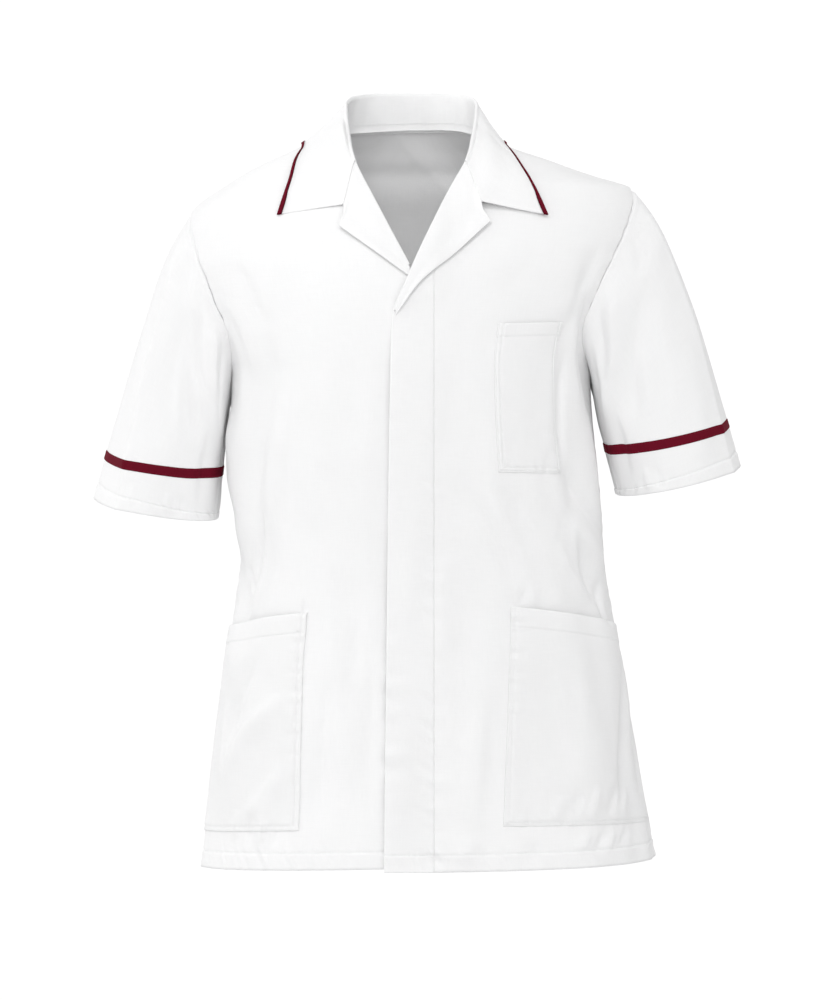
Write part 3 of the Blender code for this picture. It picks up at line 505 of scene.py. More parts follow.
def fold_sum(folds, u, v, scale):
    """Height of the largest folds (u, v, to_u, to_v, width, height) at points of their chart."""
    height = np.zeros(np.broadcast(u, v).shape)
    for from_u, from_v, to_u, to_v, width, tall in folds:
        run_u, run_v = (to_u - from_u) * scale[0], (to_v - from_v) * scale[1]
        spot_u, spot_v = (u - from_u) * scale[0], (v - from_v) * scale[1]
        along = (spot_u * run_u + spot_v * run_v) / (run_u ** 2 + run_v ** 2)
        off = np.hypot(spot_u - run_u * along, spot_v - run_v * along)
        ends = smooth(along * FOLD_FADE + FOLD_START) * smooth((1 - along) * FOLD_FADE + FOLD_START)
        if to_v < HEM_FOLD_Z:
            ends = smooth(along * HEM_FOLD_FADE + HEM_FOLD_START)
        height += tall * ends * bump(off, width)
    return height


def fold_height(turn, z):
    return fold_sum(FOLDS, wrapped(turn), z, BODY_MM)


CALMEST = 0.35              # share of the unevenness that the cloth over the chest keeps
LOOSE_BELOW = (180, 220)    # how far down the cloth starts to hang loose, and over how much


def hang(u, z):
    """Height of creases and unevenness at millimetres of girth and height."""
    calm = CALMEST + (1 - CALMEST) * rise(-z, *LOOSE_BELOW)
    rough = undulation(u, z, *BODY_UNEVEN) + undulation(u, z, *BODY_FINE_UNEVEN)
    return crease_sum(BODY_CREASES, u, z) + rough * calm


BACK_BLEND = (120, 60)      # turn from which the halves of the back blend, and over how much


def relief(turn, z):
    """Height of folds, creases and unevenness of the body cloth, even over the back centre."""
    turn = wrapped(np.asarray(turn, float))
    u = girth(turn)
    height = hang(u, z)
    share = 0.5 * rise(np.abs(turn), *BACK_BLEND)
    if np.any(share > 0):
        height = mix(height, hang(u - np.sign(u) * (GIRTH[-1] - GIRTH[0]), z), share)
    return fold_height(turn, z) + height


def cloth_point(turn, z, lift=0.0):
    """Points of the worn cloth, moved out from it by a lift."""
    return form_point(turn, z) + scaled(form_normal(turn, z), relief(turn, z) + lift)


def armhole(side, share, face):
    """Chart points of the armhole seam: share 0 at the shoulder, 1 at the underarm."""
    top, low = SHOULDER_TIP_Z[side], UNDERARM_Z[side]
    angle = share * math.pi
    away = ARMHOLE_TURN * np.sin(angle)
    turn = np.where(face == "front", 90 - away, 90 + away)
    return turn, (top + low) / 2 + (top - low) / 2 * np.cos(angle)


NECK_ROUNDING = 0.6         # share of the back neckline's fall that is a smooth curve


def neckline(side, at):
    """Chart points of the neckline: 0 at the back centre, 1 where the lapel starts to roll."""
    at = np.asarray(at, float)
    share = np.minimum(at / NECK_SIDE_AT, 1)
    late = share ** NECK_DROP[side]
    fall = smooth(late) * NECK_ROUNDING + late * (1 - NECK_ROUNDING)
    back_z = mix(BACK_NECK_Z, NECK_POINT_Z[side], fall)
    front_z = mix(NECK_POINT_Z[side], GORGE_Z, (at - NECK_SIDE_AT) / (1 - NECK_SIDE_AT))
    front_turn = np.abs(turn_at(read(FRONT[side], "x", "z", front_z) * SIGN[side], front_z))
    behind = at <= NECK_SIDE_AT
    return np.where(behind, mix(180, 90, share), front_turn), np.where(behind, back_z, front_z)


# ---------------------------------------------------------------- materials
def set_inputs(node, **values):
    """Sets a shader node's inputs by their names, written with _ for a blank."""
    for name, value in values.items():
        node.inputs[name.replace("_", " ")].default_value = value


def new_node(tree, kind, vector=None, **values):
    node = tree.nodes.new("ShaderNode" + kind)
    set_inputs(node, **values)
    if vector is not None:
        tree.links.new(vector, node.inputs["Vector"])
    return node


def new_material(name, color, roughness, sheen, specular=0.25):
    material = bpy.data.materials.new(name)
    material.use_nodes = True
    shader = material.node_tree.nodes["Principled BSDF"]
    set_inputs(shader, Base_Color=(*color, 1.0), Roughness=roughness, Sheen_Weight=sheen,
               Sheen_Roughness=0.45, Sheen_Tint=(*color, 1.0), Specular_IOR_Level=specular)
    return material


def band_wave(tree, vector, direction, pitch):
    """Fine even bands, one every pitch metres of cloth."""
    wave = new_node(tree, "TexWave", vector, Scale=math.pi / 10 / pitch, Distortion=0.6, Detail_Scale=0.4)
    wave.bands_direction = direction
    return wave.outputs["Fac"]


def uneven(tree, vector, stretch, scale, detail=2.0):
    """Noise drawn out along one direction, as thick and thin places of a thread are."""
    mapping = new_node(tree, "Mapping", vector, Scale=stretch)
    return new_node(tree, "TexNoise", mapping.outputs["Vector"], Scale=scale, Detail=detail).outputs["Fac"]


def combine(tree, first, second, how):
    node = new_node(tree, "Math")
    node.operation = how
    tree.links.new(first, node.inputs[0])
    tree.links.new(second, node.inputs[1])
    return node.outputs[0]


def add_bump(tree, height, strength, distance, before=None):
    node = new_node(tree, "Bump", Strength=strength, Distance=distance)
    tree.links.new(height, node.inputs["Height"])
    if before is not None:
        tree.links.new(before, node.inputs["Normal"])
    return node.outputs["Normal"]


EVERY_WAY = (1, 1, 1)
WARP_SLUB, WEFT_SLUB = (900, 60, 1), (60, 1000, 1)      # thick places run along their own thread
CRUMPLE_SCALE, TONE_SCALE = 46.0, 6.0                   # per metre
CRUMPLE, SLUB, THREADS = (0.35, 0.0015), (0.35, 0.00016), (0.4, 0.0001)     # strength and metres


def woven(name, color, shade, roughness, sheen, specular, warp_pitch, weft_pitch):
    """Woven cloth: threads at their real pitch, thick and thin places, soft crumple, uneven tone."""
    material = new_material(name, color, roughness, sheen, specular)
    tree = material.node_tree
    shader = tree.nodes["Principled BSDF"]
    cut = new_node(tree, "UVMap")
    cut.uv_map = "cut"
    cut = cut.outputs["UV"]
    warp, weft = band_wave(tree, cut, "X", warp_pitch), band_wave(tree, cut, "Y", weft_pitch)
    threads = combine(tree, warp, weft, "MULTIPLY")
    slubs = combine(tree, uneven(tree, cut, WARP_SLUB, 1.0), uneven(tree, cut, WEFT_SLUB, 1.0), "ADD")
    normal = add_bump(tree, uneven(tree, cut, EVERY_WAY, CRUMPLE_SCALE, 4.0), *CRUMPLE)
    normal = add_bump(tree, slubs, *SLUB, normal)
    normal = add_bump(tree, threads, *THREADS, normal)
    tree.links.new(normal, shader.inputs["Normal"])
    place = new_node(tree, "TexCoord").outputs["Object"]
    tone = combine(tree, uneven(tree, place, EVERY_WAY, TONE_SCALE, 3.0), slubs, "ADD")
    ramp = new_node(tree, "MapRange", From_Min=1.0, From_Max=2.0)
    tree.links.new(tone, ramp.inputs["Value"])
    blend = tree.nodes.new("ShaderNodeMix")
    blend.data_type = "RGBA"
    set_inputs(blend, A=(*shade, 1.0), B=(*color, 1.0))
    tree.links.new(ramp.outputs["Result"], blend.inputs["Factor"])
    tree.links.new(blend.outputs["Result"], shader.inputs["Base Color"])
    return material


WHITE_CLOTH = woven("white_poly_cotton", (0.90, 0.90, 0.902), (0.865, 0.865, 0.868), 0.86, 0.12, 0.25,
                    0.00045, 0.000405)
# Thin cloth: some light comes out on its other side.
set_inputs(WHITE_CLOTH.node_tree.nodes["Principled BSDF"],
           Subsurface_Weight=0.35, Subsurface_Radius=(1.0, 1.0, 1.0), Subsurface_Scale=0.0012)
MAROON_TAPE = woven("maroon_tape", (0.145, 0.0035, 0.016), (0.105, 0.0025, 0.011), 0.8, 0.15, 0.08,
                    0.0006, 0.00096)
WHITE_THREAD = new_material("white_thread", (0.88, 0.885, 0.89), 0.55, 0.1)
MAROON_THREAD = new_material("maroon_thread", (0.19, 0.008, 0.025), 0.6, 0.1, 0.12)

Finish = namedtuple("Finish", "cloth thread slot")
WHITE = Finish(WHITE_CLOTH, WHITE_THREAD, "cloth_white")
MAROON = Finish(MAROON_TAPE, MAROON_THREAD, "tape_maroon")


# ---------------------------------------------------------------- making a piece
FINE_STEPS = 4001
MERGE = 0.00001             # metres


def spread(count, *marks):
    """Count steps from 0 to 1, closer together round each (place, reach, density) mark."""
    fine = np.linspace(0, 1, FINE_STEPS)
    density = np.ones_like(fine)
    for place, reach, extra in marks:
        density += extra * bump(fine - place, reach)
    total = np.concatenate(([0], np.cumsum((density[1:] + density[:-1]) / 2)))
    return np.interp(np.linspace(0, total[-1], count + 1), total, fine)


def rows_from(items, attribute):
    """An attribute of a mesh's vertices or faces as rows of three."""
    flat = np.empty(len(items) * 3)
    items.foreach_get(attribute, flat)
    return flat.reshape(-1, 3)


def sheet_mesh(name, columns, rows, place, closed):
    """Flat grid carried to place(across, down), with its cut in metres as the UV map."""
    mesh = bpy.data.meshes.new(name)
    shape = bmesh.new()
    bmesh.ops.create_grid(shape, x_segments=len(columns) - 1, y_segments=len(rows) - 1, size=0.5)
    shape.to_mesh(mesh)
    flat = rows_from(mesh.vertices, "co")
    column = np.rint((flat[:, 0] + 0.5) * (len(columns) - 1)).astype(int)
    row = np.rint((0.5 - flat[:, 1]) * (len(rows) - 1)).astype(int)
    points, cut = place(columns[column], rows[row])
    mesh.vertices.foreach_set("co", (points * MM).ravel())
    corners = np.empty(len(mesh.loops), int)
    mesh.loops.foreach_get("vertex_index", corners)
    cut_map = mesh.uv_layers.new(name="cut")
    cut_map.data.foreach_set("uv", (cut[corners] * MM).ravel())
    mesh.update()
    if closed:
        shape.clear()
        shape.from_mesh(mesh)
        bmesh.ops.remove_doubles(shape, verts=shape.verts[:], dist=MERGE)
        shape.to_mesh(mesh)
    shape.free()
    return mesh


def face_out(mesh, inwards):
    """Turns a surface round if most of it faces the way that inwards gives."""
    normals = rows_from(mesh.polygons, "normal")
    centres = rows_from(mesh.polygons, "center") / MM
    if (np.sum(normals * inwards(centres), axis=1) > 0).mean() > 0.5:
        mesh.flip_normals()


def to_axis(points):
    return points_of(-points[:, 0], BODY_AXIS_Y - points[:, 1], 0)


def new_object(name, data):
    item = bpy.data.objects.new(name, data)
    bpy.context.collection.objects.link(item)
    return item


made, threads = {}, {}


def make(name, columns, rows, place, wall, inwards=to_axis, closed=False, finish=WHITE):
    """A shell of cloth in the place of the CAD node of that name."""
    mesh = sheet_mesh(name + "_cloth", columns, rows, place, closed)
    face_out(mesh, inwards)
    mesh.shade_smooth()
    mesh.materials.append(finish.cloth)
    piece = new_object(name + "_cloth", mesh)
    solidify = piece.modifiers.new("wall", "SOLIDIFY")
    solidify.thickness = wall * MM
    solidify.offset = -1.0
    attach(piece, "root")
    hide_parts(name)
    made[name] = piece


RUN_STEP = 0.002            # share of a piece between the points that give a run's normals


def surface_run(place, across, down, lift=0.0):
    """Points and outward directions along a line drawn on a piece, given by its grid shares."""
    across, down = np.broadcast_arrays(np.asarray(across, float), np.asarray(down, float))
    spots = place(across, down)[0]
    normals = surface_normal(lambda *shares: place(*shares)[0], across, down, RUN_STEP)
    out = points_of(spots[:, 0], spots[:, 1] - BODY_AXIS_Y, 0)
    if (np.sum(normals * out, axis=1) < 0).mean() > 0.5:
        normals = -normals
    return spots + normals * lift, normals


STITCH_PITCH = 3.0
STITCH_HALF = (1.12, 0.27, 0.2)     # half the length, width and thickness of a stitch
STITCH_REACH = 0.5                  # how far before and after a stitch its direction is read


def read_run(values, distance, marks):
    """Rows of values along a run, read at marks of its distance."""
    return np.stack([np.interp(marks, distance, column) for column in values.T], axis=1)


def sew(name, runs, finish=WHITE):
    """Lockstitches along runs of points on a piece, each a small capsule half sunk in the cloth."""
    template = bpy.data.meshes.new("stitch")
    shape = bmesh.new()
    bmesh.ops.create_uvsphere(shape, u_segments=6, v_segments=3, radius=1.0)
    shape.to_mesh(template)
    shape.free()
    ball = rows_from(template.vertices, "co")
    centres, along, outward = [], [], []
    for spots, normals in runs:
        steps = np.linalg.norm(np.diff(spots, axis=0), axis=1)
        distance = np.concatenate(([0], np.cumsum(steps)))
        marks = np.arange(STITCH_PITCH / 2, distance[-1], STITCH_PITCH)
        centres.append(read_run(spots, distance, marks))
        along.append(unit(read_run(spots, distance, marks + STITCH_REACH)
                          - read_run(spots, distance, marks - STITCH_REACH)))
        outward.append(unit(read_run(normals, distance, marks)))
    centres, along, outward = (np.concatenate(part) for part in (centres, along, outward))
    sideways = unit(np.cross(outward, along))
    outward = np.cross(along, sideways)
    shape = bmesh.new()
    for _ in range(len(centres)):
        shape.from_mesh(template)
    mesh = bpy.data.meshes.new("thread_" + name)
    shape.to_mesh(mesh)
    shape.free()
    bpy.data.meshes.remove(template)
    places = centres[:, None]
    for axis, direction in enumerate((along, sideways, outward)):
        places = places + direction[:, None] * ball[None, :, axis:axis + 1] * STITCH_HALF[axis]
    mesh.vertices.foreach_set("co", (places * MM).ravel())
    mesh.update()
    mesh.shade_smooth()
    mesh.materials.append(finish.thread)
    piece = new_object("thread_" + name, mesh)
    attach(piece, "root")
    threads[name] = piece


# ---------------------------------------------------------------- seams, hems and puckers
# Seed and wavelength of what each row of stitches draws up.
UNDERLAP_DRAW = (36, 150.0)
PLACKET_DRAW, PLACKET_LONG_DRAW, PLACKET_EDGE_DRAW = (31, 21.0), (37, 33.0), (33, 34.0)
CAP_DRAW = (53, 15.0)
BACK_SEAM_SEED = 43
SEAM_WAVE, HEM_WAVE, SLEEVE_HEM_WAVE, POCKET_WAVE = 19.0, 13.0, 15.0, 15.0
HEM_SEED = {"front_right": 22, "front_left": 21, "back": 41, "placket": 35, "sleeve": 54}
PUCKER_WAVES = (1.0, 1.47, 0.66)    # wavelengths that cross, as shares of the stated one
PHASES = 6.28
SWELL_MM = 47.0                     # length over which puckers come and go


def pucker(along, seed, wavelength):
    """Uneven ripple along a line of stitches, between about -1 and 1."""
    dice = np.random.default_rng(seed)
    ripple = np.zeros(np.shape(along))
    for share in PUCKER_WAVES:
        ripple += np.sin(along * 2 * math.pi / (wavelength * share) + dice.random() * PHASES)
    swell = 0.55 + 0.45 * np.sin(along / SWELL_MM + dice.random() * PHASES)
    return ripple / 3 * swell


TURN_UP = 0.45              # how much a hem's second layer lifts its first
STITCH_SINK = 0.8
HEM_PUCKER = 1.5


def band_edge(from_edge, band):
    """1 on a turned band, 0 beyond its stitches."""
    return smooth((band + 0.8 - from_edge) / 1.6)


def hem_band(from_hem, along, seed, band=HEM_BAND, wavelength=HEM_WAVE):
    """The turned-up hem: a doubled band below its stitches, puckered along them."""
    doubled = TURN_UP * band_edge(from_hem, band)
    stitched = -STITCH_SINK * bump(from_hem - band, 1.2)
    slanted = along + from_hem * 0.45
    gathered = HEM_PUCKER * pucker(slanted, seed, wavelength) * bump(from_hem - band + 4, 10)
    return doubled + stitched + gathered


SEAM_PUCKER = 0.9
SEAM_WIDTH = 1.9            # how wide the dip of a seam is
EDGE_WIDTH = 2.3            # and that along the shoulder


def seam_edge(distance, along, seed):
    """A panel sinks into its seam, which draws the cloth up a little."""
    drawn = SEAM_PUCKER * pucker(along, seed, SEAM_WAVE) * bump(distance - 2, 11)
    return drawn - SEAM_DIP * bump(distance, SEAM_WIDTH)


# ---------------------------------------------------------------- fronts, back and placket
OVER_FRONT, OVER_LAPEL = 2.0, 2.6   # lift of the left front over the right one, and over its lapel
OVER_FRONT_ENDS, OVER_LAPEL_ENDS, OVER_LAPEL_STARTS = (24, 26), (16, 26), (-192, 22)


def overlap_lift(x, z):
    over_front = OVER_FRONT * (1 - rise(x, *OVER_FRONT_ENDS))
    over_lapel = OVER_LAPEL * rise(z, *OVER_LAPEL_STARTS) * (1 - rise(x, *OVER_LAPEL_ENDS))
    return over_front + over_lapel


LAPEL_ENDS = {"right": (-190, 40), "left": (-104, 8)}   # where a lapel gives way to the placket
LAPEL_STARTS = (32, 8)


def lapel_cover(side, z):
    """1 where a front's edge lies under its lapel, 0 where it runs down the placket."""
    return rise(z, *LAPEL_ENDS[side]) * rise(-z, *LAPEL_STARTS)


UNDER_LAPEL = 2.5           # how far a front's edge stays back from its lapel's roll
UNDERLAP_SINK = 2.4         # how far the right front lies in under the left one
UNDERLAP_WAVE = 0.9
UNDERLAP_FROM_X, UNDERLAP_BELOW = (-50, 30), (195, 50)
PLACKET_SEAM_DIP, PLACKET_SEAM_WIDTH = 0.12, 1.3
PLACKET_PUCKER = 2.4
PLACKET_STARTS = (0.24, 0.03)       # share down the left front
SHOULDER_MM = 200                   # millimetres to a share down a front, near its shoulder seam


def side_seam(side, share, hole_turn, hole_z, above):
    """A panel's outer edge: the armhole above the underarm, then down the side seam."""
    seam_z = mix(UNDERARM_Z[side], HEM_SIDE_Z[side], share)
    return np.where(above, hole_turn, 90.0), np.where(above, hole_z, seam_z)


def front_place(side):
    table, sign = FRONT[side], SIGN[side]
    upper = [row for row in table if row.armhole is not None]
    underarm_at = upper[-1].at
    seed = HEM_SEED["front_" + side]

    def place(across, down):
        start_z = read(table, "z", "at", down)
        start_x = read(table, "x", "z", start_z) + UNDER_LAPEL * lapel_cover(side, start_z)
        start_turn = turn_at(start_x * sign, start_z)
        hole_turn, hole_z = armhole(side, read(upper, "armhole", "at", down), "front")
        seam_share = (down - underarm_at) / (1 - underarm_at)
        end_turn, end_z = side_seam(side, seam_share, hole_turn, hole_z, down <= underarm_at)
        end_turn = end_turn * sign
        turn = mix(start_turn, end_turn, across)
        z = mix(start_z, end_z, across)
        row_width = np.hypot(girth(end_turn) - girth(start_turn), end_z - start_z)
        from_hem = z - mix(HEM_FRONT_Z[side], HEM_SIDE_Z[side], across)
        lift = hem_band(from_hem, girth(turn), seed)
        lift = lift + seam_edge((1 - across) * row_width, z, seed + 1)
        lift = lift - SEAM_DIP * bump(down * SHOULDER_MM, EDGE_WIDTH) * smooth(across * 8)
        x = form_point(turn, z)[:, 0]
        if side == "right":
            sink = UNDERLAP_SINK + UNDERLAP_WAVE * pucker(z, *UNDERLAP_DRAW)
            lift = lift - sink * rise(x, *UNDERLAP_FROM_X) * rise(-z, *UNDERLAP_BELOW)
        else:
            from_placket = across * row_width
            by_placket = rise(down, *PLACKET_STARTS)
            lift = lift + overlap_lift(x, z)
            lift = lift - PLACKET_SEAM_DIP * bump(from_placket, PLACKET_SEAM_WIDTH) * by_placket
            lift = lift + PLACKET_PUCKER * placket_pucker(z) * bump(from_placket, 8) * by_placket
        return cloth_point(turn, z, lift), on_cut(girth(turn), z)

    return place


BELOW_WAIST = (380, 120)    # how far down the placket's ripples grow, and over how much


def placket_pucker(z):
    """Ripples along the placket's stitches, stronger below the waist."""
    uneven_draw = 0.65 * pucker(z, *PLACKET_DRAW) + 0.6 * pucker(z, *PLACKET_LONG_DRAW)
    return uneven_draw * (0.35 + 0.65 * rise(-z, *BELOW_WAIST))


def back_place(across, down):
    side_sign = np.where(across >= 0.5, 1.0, -1.0)
    out = np.abs(across - 0.5) * 2
    points, cut = np.zeros((len(across), 3)), np.zeros((len(across), 2))
    for side, sign in SIGN.items():
        here = side_sign == sign
        if here.any():
            points[here], cut[here] = half_back(side, out[here], down[here])
    return points, cut


BLADE, BLADE_Z, BLADE_WIDTH = 2.2, -38, 9       # a soft ridge across the shoulder blades
HOLLOW, HOLLOW_Z, HOLLOW_WIDTH = 1.8, -62, 14   # and the dip below it
BLADE_TURN = (118, 40)
SHOULDER_ROW_MM, CENTRE_ROW_MM = 170, 480       # millimetres to a share down, near its top seam


def half_back(side, out, down):
    """Half of the back, from its centre out to the armhole and the side seam."""
    sign = SIGN[side]
    hole_turn, hole_z = armhole(side, read(BACK, "armhole", "at", down), "back")
    seam_share = (down - BACK_UNDERARM_AT) / (1 - BACK_UNDERARM_AT)
    end_turn, end_z = side_seam(side, seam_share, hole_turn, hole_z, down <= BACK_UNDERARM_AT)
    turn = mix(180, end_turn, out)
    z = mix(read(BACK, "centre_z", "at", down), end_z, out)
    fade = np.maximum(0.0, 1 - down / BACK_TOP_REACH) ** 1.5
    tip_turn, tip_z = armhole(side, 0.0, "back")
    neck_turn, neck_z = neckline(side, out / BACK_NECK_SHARE * NECK_SIDE_AT)
    on_neck = out <= BACK_NECK_SHARE
    shoulder_z = mix(NECK_POINT_Z[side], tip_z, (out - BACK_NECK_SHARE) / (1 - BACK_NECK_SHARE))
    top_turn = np.where(on_neck, neck_turn, tip_turn)
    top_z = np.where(on_neck, neck_z, shoulder_z)
    turn = turn + fade * (top_turn - mix(180, tip_turn, out))
    z = z + fade * (top_z - mix(BACK_NECK_Z, tip_z, out))
    turn = np.maximum(turn, 90.0)
    row_width = np.hypot(HALF_GIRTH - girth(end_turn), end_z - z)
    from_hem = z - mix(HEM_BACK_Z, HEM_SIDE_Z[side], out)
    from_centre = (HALF_GIRTH - girth(np.minimum(turn, NEARLY_ROUND))) * sign
    blades = BLADE * bump(z - BLADE_Z, BLADE_WIDTH) - HOLLOW * bump(z - HOLLOW_Z, HOLLOW_WIDTH)
    lift = hem_band(from_hem, from_centre, HEM_SEED["back"])
    lift = lift + blades * rise(turn, *BLADE_TURN)
    lift = lift + seam_edge((1 - out) * row_width, z, BACK_SEAM_SEED)
    lift = lift - SEAM_DIP * bump(down * mix(CENTRE_ROW_MM, SHOULDER_ROW_MM, out), EDGE_WIDTH)
    return cloth_point(turn * sign, z, lift), on_cut(from_centre, z)


# The placket from its top down: where its free edge and its rows lie.
PlacketRow = namedtuple("PlacketRow", "at edge_x z")
PLACKET = rows_of(
    PlacketRow, (0.0, 19.5, PLACKET_TOP_Z), (0.07, 2.2, -146), (0.15, PLACKET_EDGE_X + 1.6, -194),
    (0.2, PLACKET_EDGE_X, -225), (1.0, PLACKET_HEM_X, HEM_FRONT_Z["left"]),
)
PLACKET_CURL, PLACKET_ROUND = 0.08, 1.1     # share of it that is its turned edge, and that edge's radius
PLACKET_WAVE = 2.0
EDGE_LOOSE_BELOW = (400, 140)


UNDER_EDGE, OVER_EDGE = -75, 90     # degrees round a folded edge at which it starts and ends


def folded_edge(across, share, radius):
    """Share across the flat of a piece beyond its folded edge, and that edge's offset and lift."""
    flat = np.clip((across - share) / (1 - share), 0, 1)
    angle = np.radians(mix(UNDER_EDGE, OVER_EDGE, np.clip(across / share, 0, 1)))
    return flat, radius * (1 - np.cos(angle)), radius * (np.sin(angle) - 1)


def placket_place(across, down):
    z = read(PLACKET, "z", "at", down)
    edge_x = read(PLACKET, "edge_x", "at", down)
    flat, inset, sink = folded_edge(across, PLACKET_CURL, PLACKET_ROUND)
    x = mix(edge_x + inset, PLACKET_SEAM_X, flat)
    from_seam = PLACKET_SEAM_X - x
    wave = PLACKET_WAVE * pucker(z, *PLACKET_EDGE_DRAW) * (0.25 + 0.75 * rise(-z, *EDGE_LOOSE_BELOW))
    lift = overlap_lift(x, z) + sink - PLACKET_SEAM_DIP * bump(from_seam, PLACKET_SEAM_WIDTH)
    lift = lift + PLACKET_PUCKER * placket_pucker(z - from_seam * 0.5) * bump(from_seam, 13)
    lift = lift + wave * bump(x - edge_x, 17) + hem_band(z - HEM_FRONT_Z["left"], x, HEM_SEED["placket"])
    turn = turn_at(x, z)
    return cloth_point(turn, z, lift), on_cut(girth(turn), z)


# ---------------------------------------------------------------- lapels and collar
STAND, ROLLED = 0.22, 0.38  # shares across the collar where its stand and its roll end
VIA = 0.42                  # share of the fall from its crest to the middle point that shapes it
LAPEL_CURL, LAPEL_ROUND = 0.14, 1.7
LAPEL_CROWN = 1.5           # how far a lapel bulges near its roll
LAPEL_EDGE_DIP = 0.7
LAPEL_TIP, LAPEL_TIP_MORE, LAPEL_TIP_AT = 1.4, 1.8, 0.2
GORGE_SHARE = 0.13          # share down a lapel over which it leaves the collar's seam
ON_STAND, BY_COLLAR_END, UNDER_COLLAR = 0.2, 0.006, 0.3     # where its top is sewn to the collar


def free_edge(table, column, at):
    """A lapel's free edge: straight to its tip, the second row, and a curve from there down."""
    tip = table[1].at
    top = np.interp(at, (0.0, tip), (getattr(table[0], column), getattr(table[1], column)))
    return np.where(at < tip, top, read(table[1:], column, "at", at))


def lapel_place(side):
    table, sign = LAPELS[side], SIGN[side]

    def place(across, down):
        flat, inset, sink = folded_edge(across, LAPEL_CURL, LAPEL_ROUND)
        x = mix(read(table, "roll_x", "at", down) + inset, free_edge(table, "edge_x", down), flat)
        z = mix(read(table, "roll_z", "at", down), free_edge(table, "edge_z", down), flat)
        crown = LAPEL_CROWN * np.sin(math.pi * np.minimum(flat * 1.5, 1)) * (1 - down)
        tip = LAPEL_TIP + LAPEL_TIP_MORE * bump(down - LAPEL_TIP_AT, 0.2)
        tip = tip * smooth((flat - 0.5) / 0.5) * smooth(down / 0.1)
        lift = LAPEL_LIFT + sink + crown + tip * smooth((1 - down) / 0.12)
        lift = lift - LAPEL_EDGE_DIP * bump(1 - flat, 0.05)
        if side == "left":
            lift = lift + overlap_lift(x, z)
        turn = turn_at(x * sign, z)
        on_fall = ROLLED + (1 - ROLLED) * VIA * flat
        on_roll = mix(ON_STAND, ROLLED, across / LAPEL_CURL)
        collar_end = np.full(len(across), 0.5 + sign * (0.5 - BY_COLLAR_END))
        sewn = collar_surface(np.where(flat > 0, on_fall, on_roll), collar_end)
        sewn = sewn - form_normal(turn, z) * (DOUBLED + UNDER_COLLAR)
        free = smooth(down / GORGE_SHARE)[:, None]
        return mix(sewn, cloth_point(turn, z, lift), free), on_cut(x * sign, z)

    return place


CONTACT = 1.3               # how gradually the collar comes to lie on the body
NEAREST_TRIES, NEAREST_PACE, NEAREST_STRIDE = 12, 0.7, 8    # of the search for its nearest point
NEAR_STEP = 0.5             # to the points that give the form's directions there
TOP_Z = 12.0                # the search goes no higher


def clear_of_body(points, clearance):
    """Moves points out along the nearest normal of the body form, if they are nearer than that."""
    z = np.minimum(points[:, 2], 0.0)
    ahead = (read(DEPTHS, "ridge", "z", z) - points[:, 1]) / read(DEPTHS, "front", "z", z)
    turn = np.degrees(np.arctan2(points[:, 0] / half_width(points[:, 0], z), ahead))

    def stride(off, per_step):
        steps = np.sum(off * per_step, 1) / np.sum(per_step * per_step, 1)
        return NEAREST_PACE * np.clip(steps, -NEAREST_STRIDE, NEAREST_STRIDE)

    for _ in range(NEAREST_TRIES):
        off = points - form_point(turn, z)
        per_turn = form_point(turn + NEAR_STEP, z) - form_point(turn - NEAR_STEP, z)
        per_rise = form_point(turn, z + NEAR_STEP) - form_point(turn, z - NEAR_STEP)
        turn = turn + stride(off, per_turn)
        z = np.minimum(z + stride(off, per_rise), TOP_Z)
    normal = form_normal(turn, z)
    short = (clearance - np.sum((points - form_point(turn, z)) * normal, axis=1)) / CONTACT
    return points + scaled(normal, CONTACT * np.logaddexp(0.0, np.clip(short, -40, 40)))


def laid_point(turn, z, lift):
    """Points over the largest folds alone, for the stiffer collar."""
    return form_point(turn, z) + scaled(form_normal(turn, z), fold_height(turn, z) + lift)


SHOULDER_CLOSER, CLOSER_REACH = 1.8, 0.09


def collar_lift(at):
    """The collar lies closest where its edge passes over the shoulder."""
    return COLLAR_LIFT - SHOULDER_CLOSER * bump(at - NECK_SIDE_AT, CLOSER_REACH)


NECK_STEP = 0.02            # share along the neckline between the points that give its direction
CREST_TURN = 0.65           # how much the crests' direction keeps of the way from front to back
FOOT_INSIDE, FOOT_BELOW = 4.0, 2.4      # the collar's foot from the neck seam
CREST_DROP = 3.0                        # how far its crests lie below the top of its roll
EDGE_ON_FRONT = (0.565, 0.05)           # from here COLLAR_EDGE rules its outer edge
BY_NOTCH = (0.86, 0.14)                 # from here its fall bends round the notch


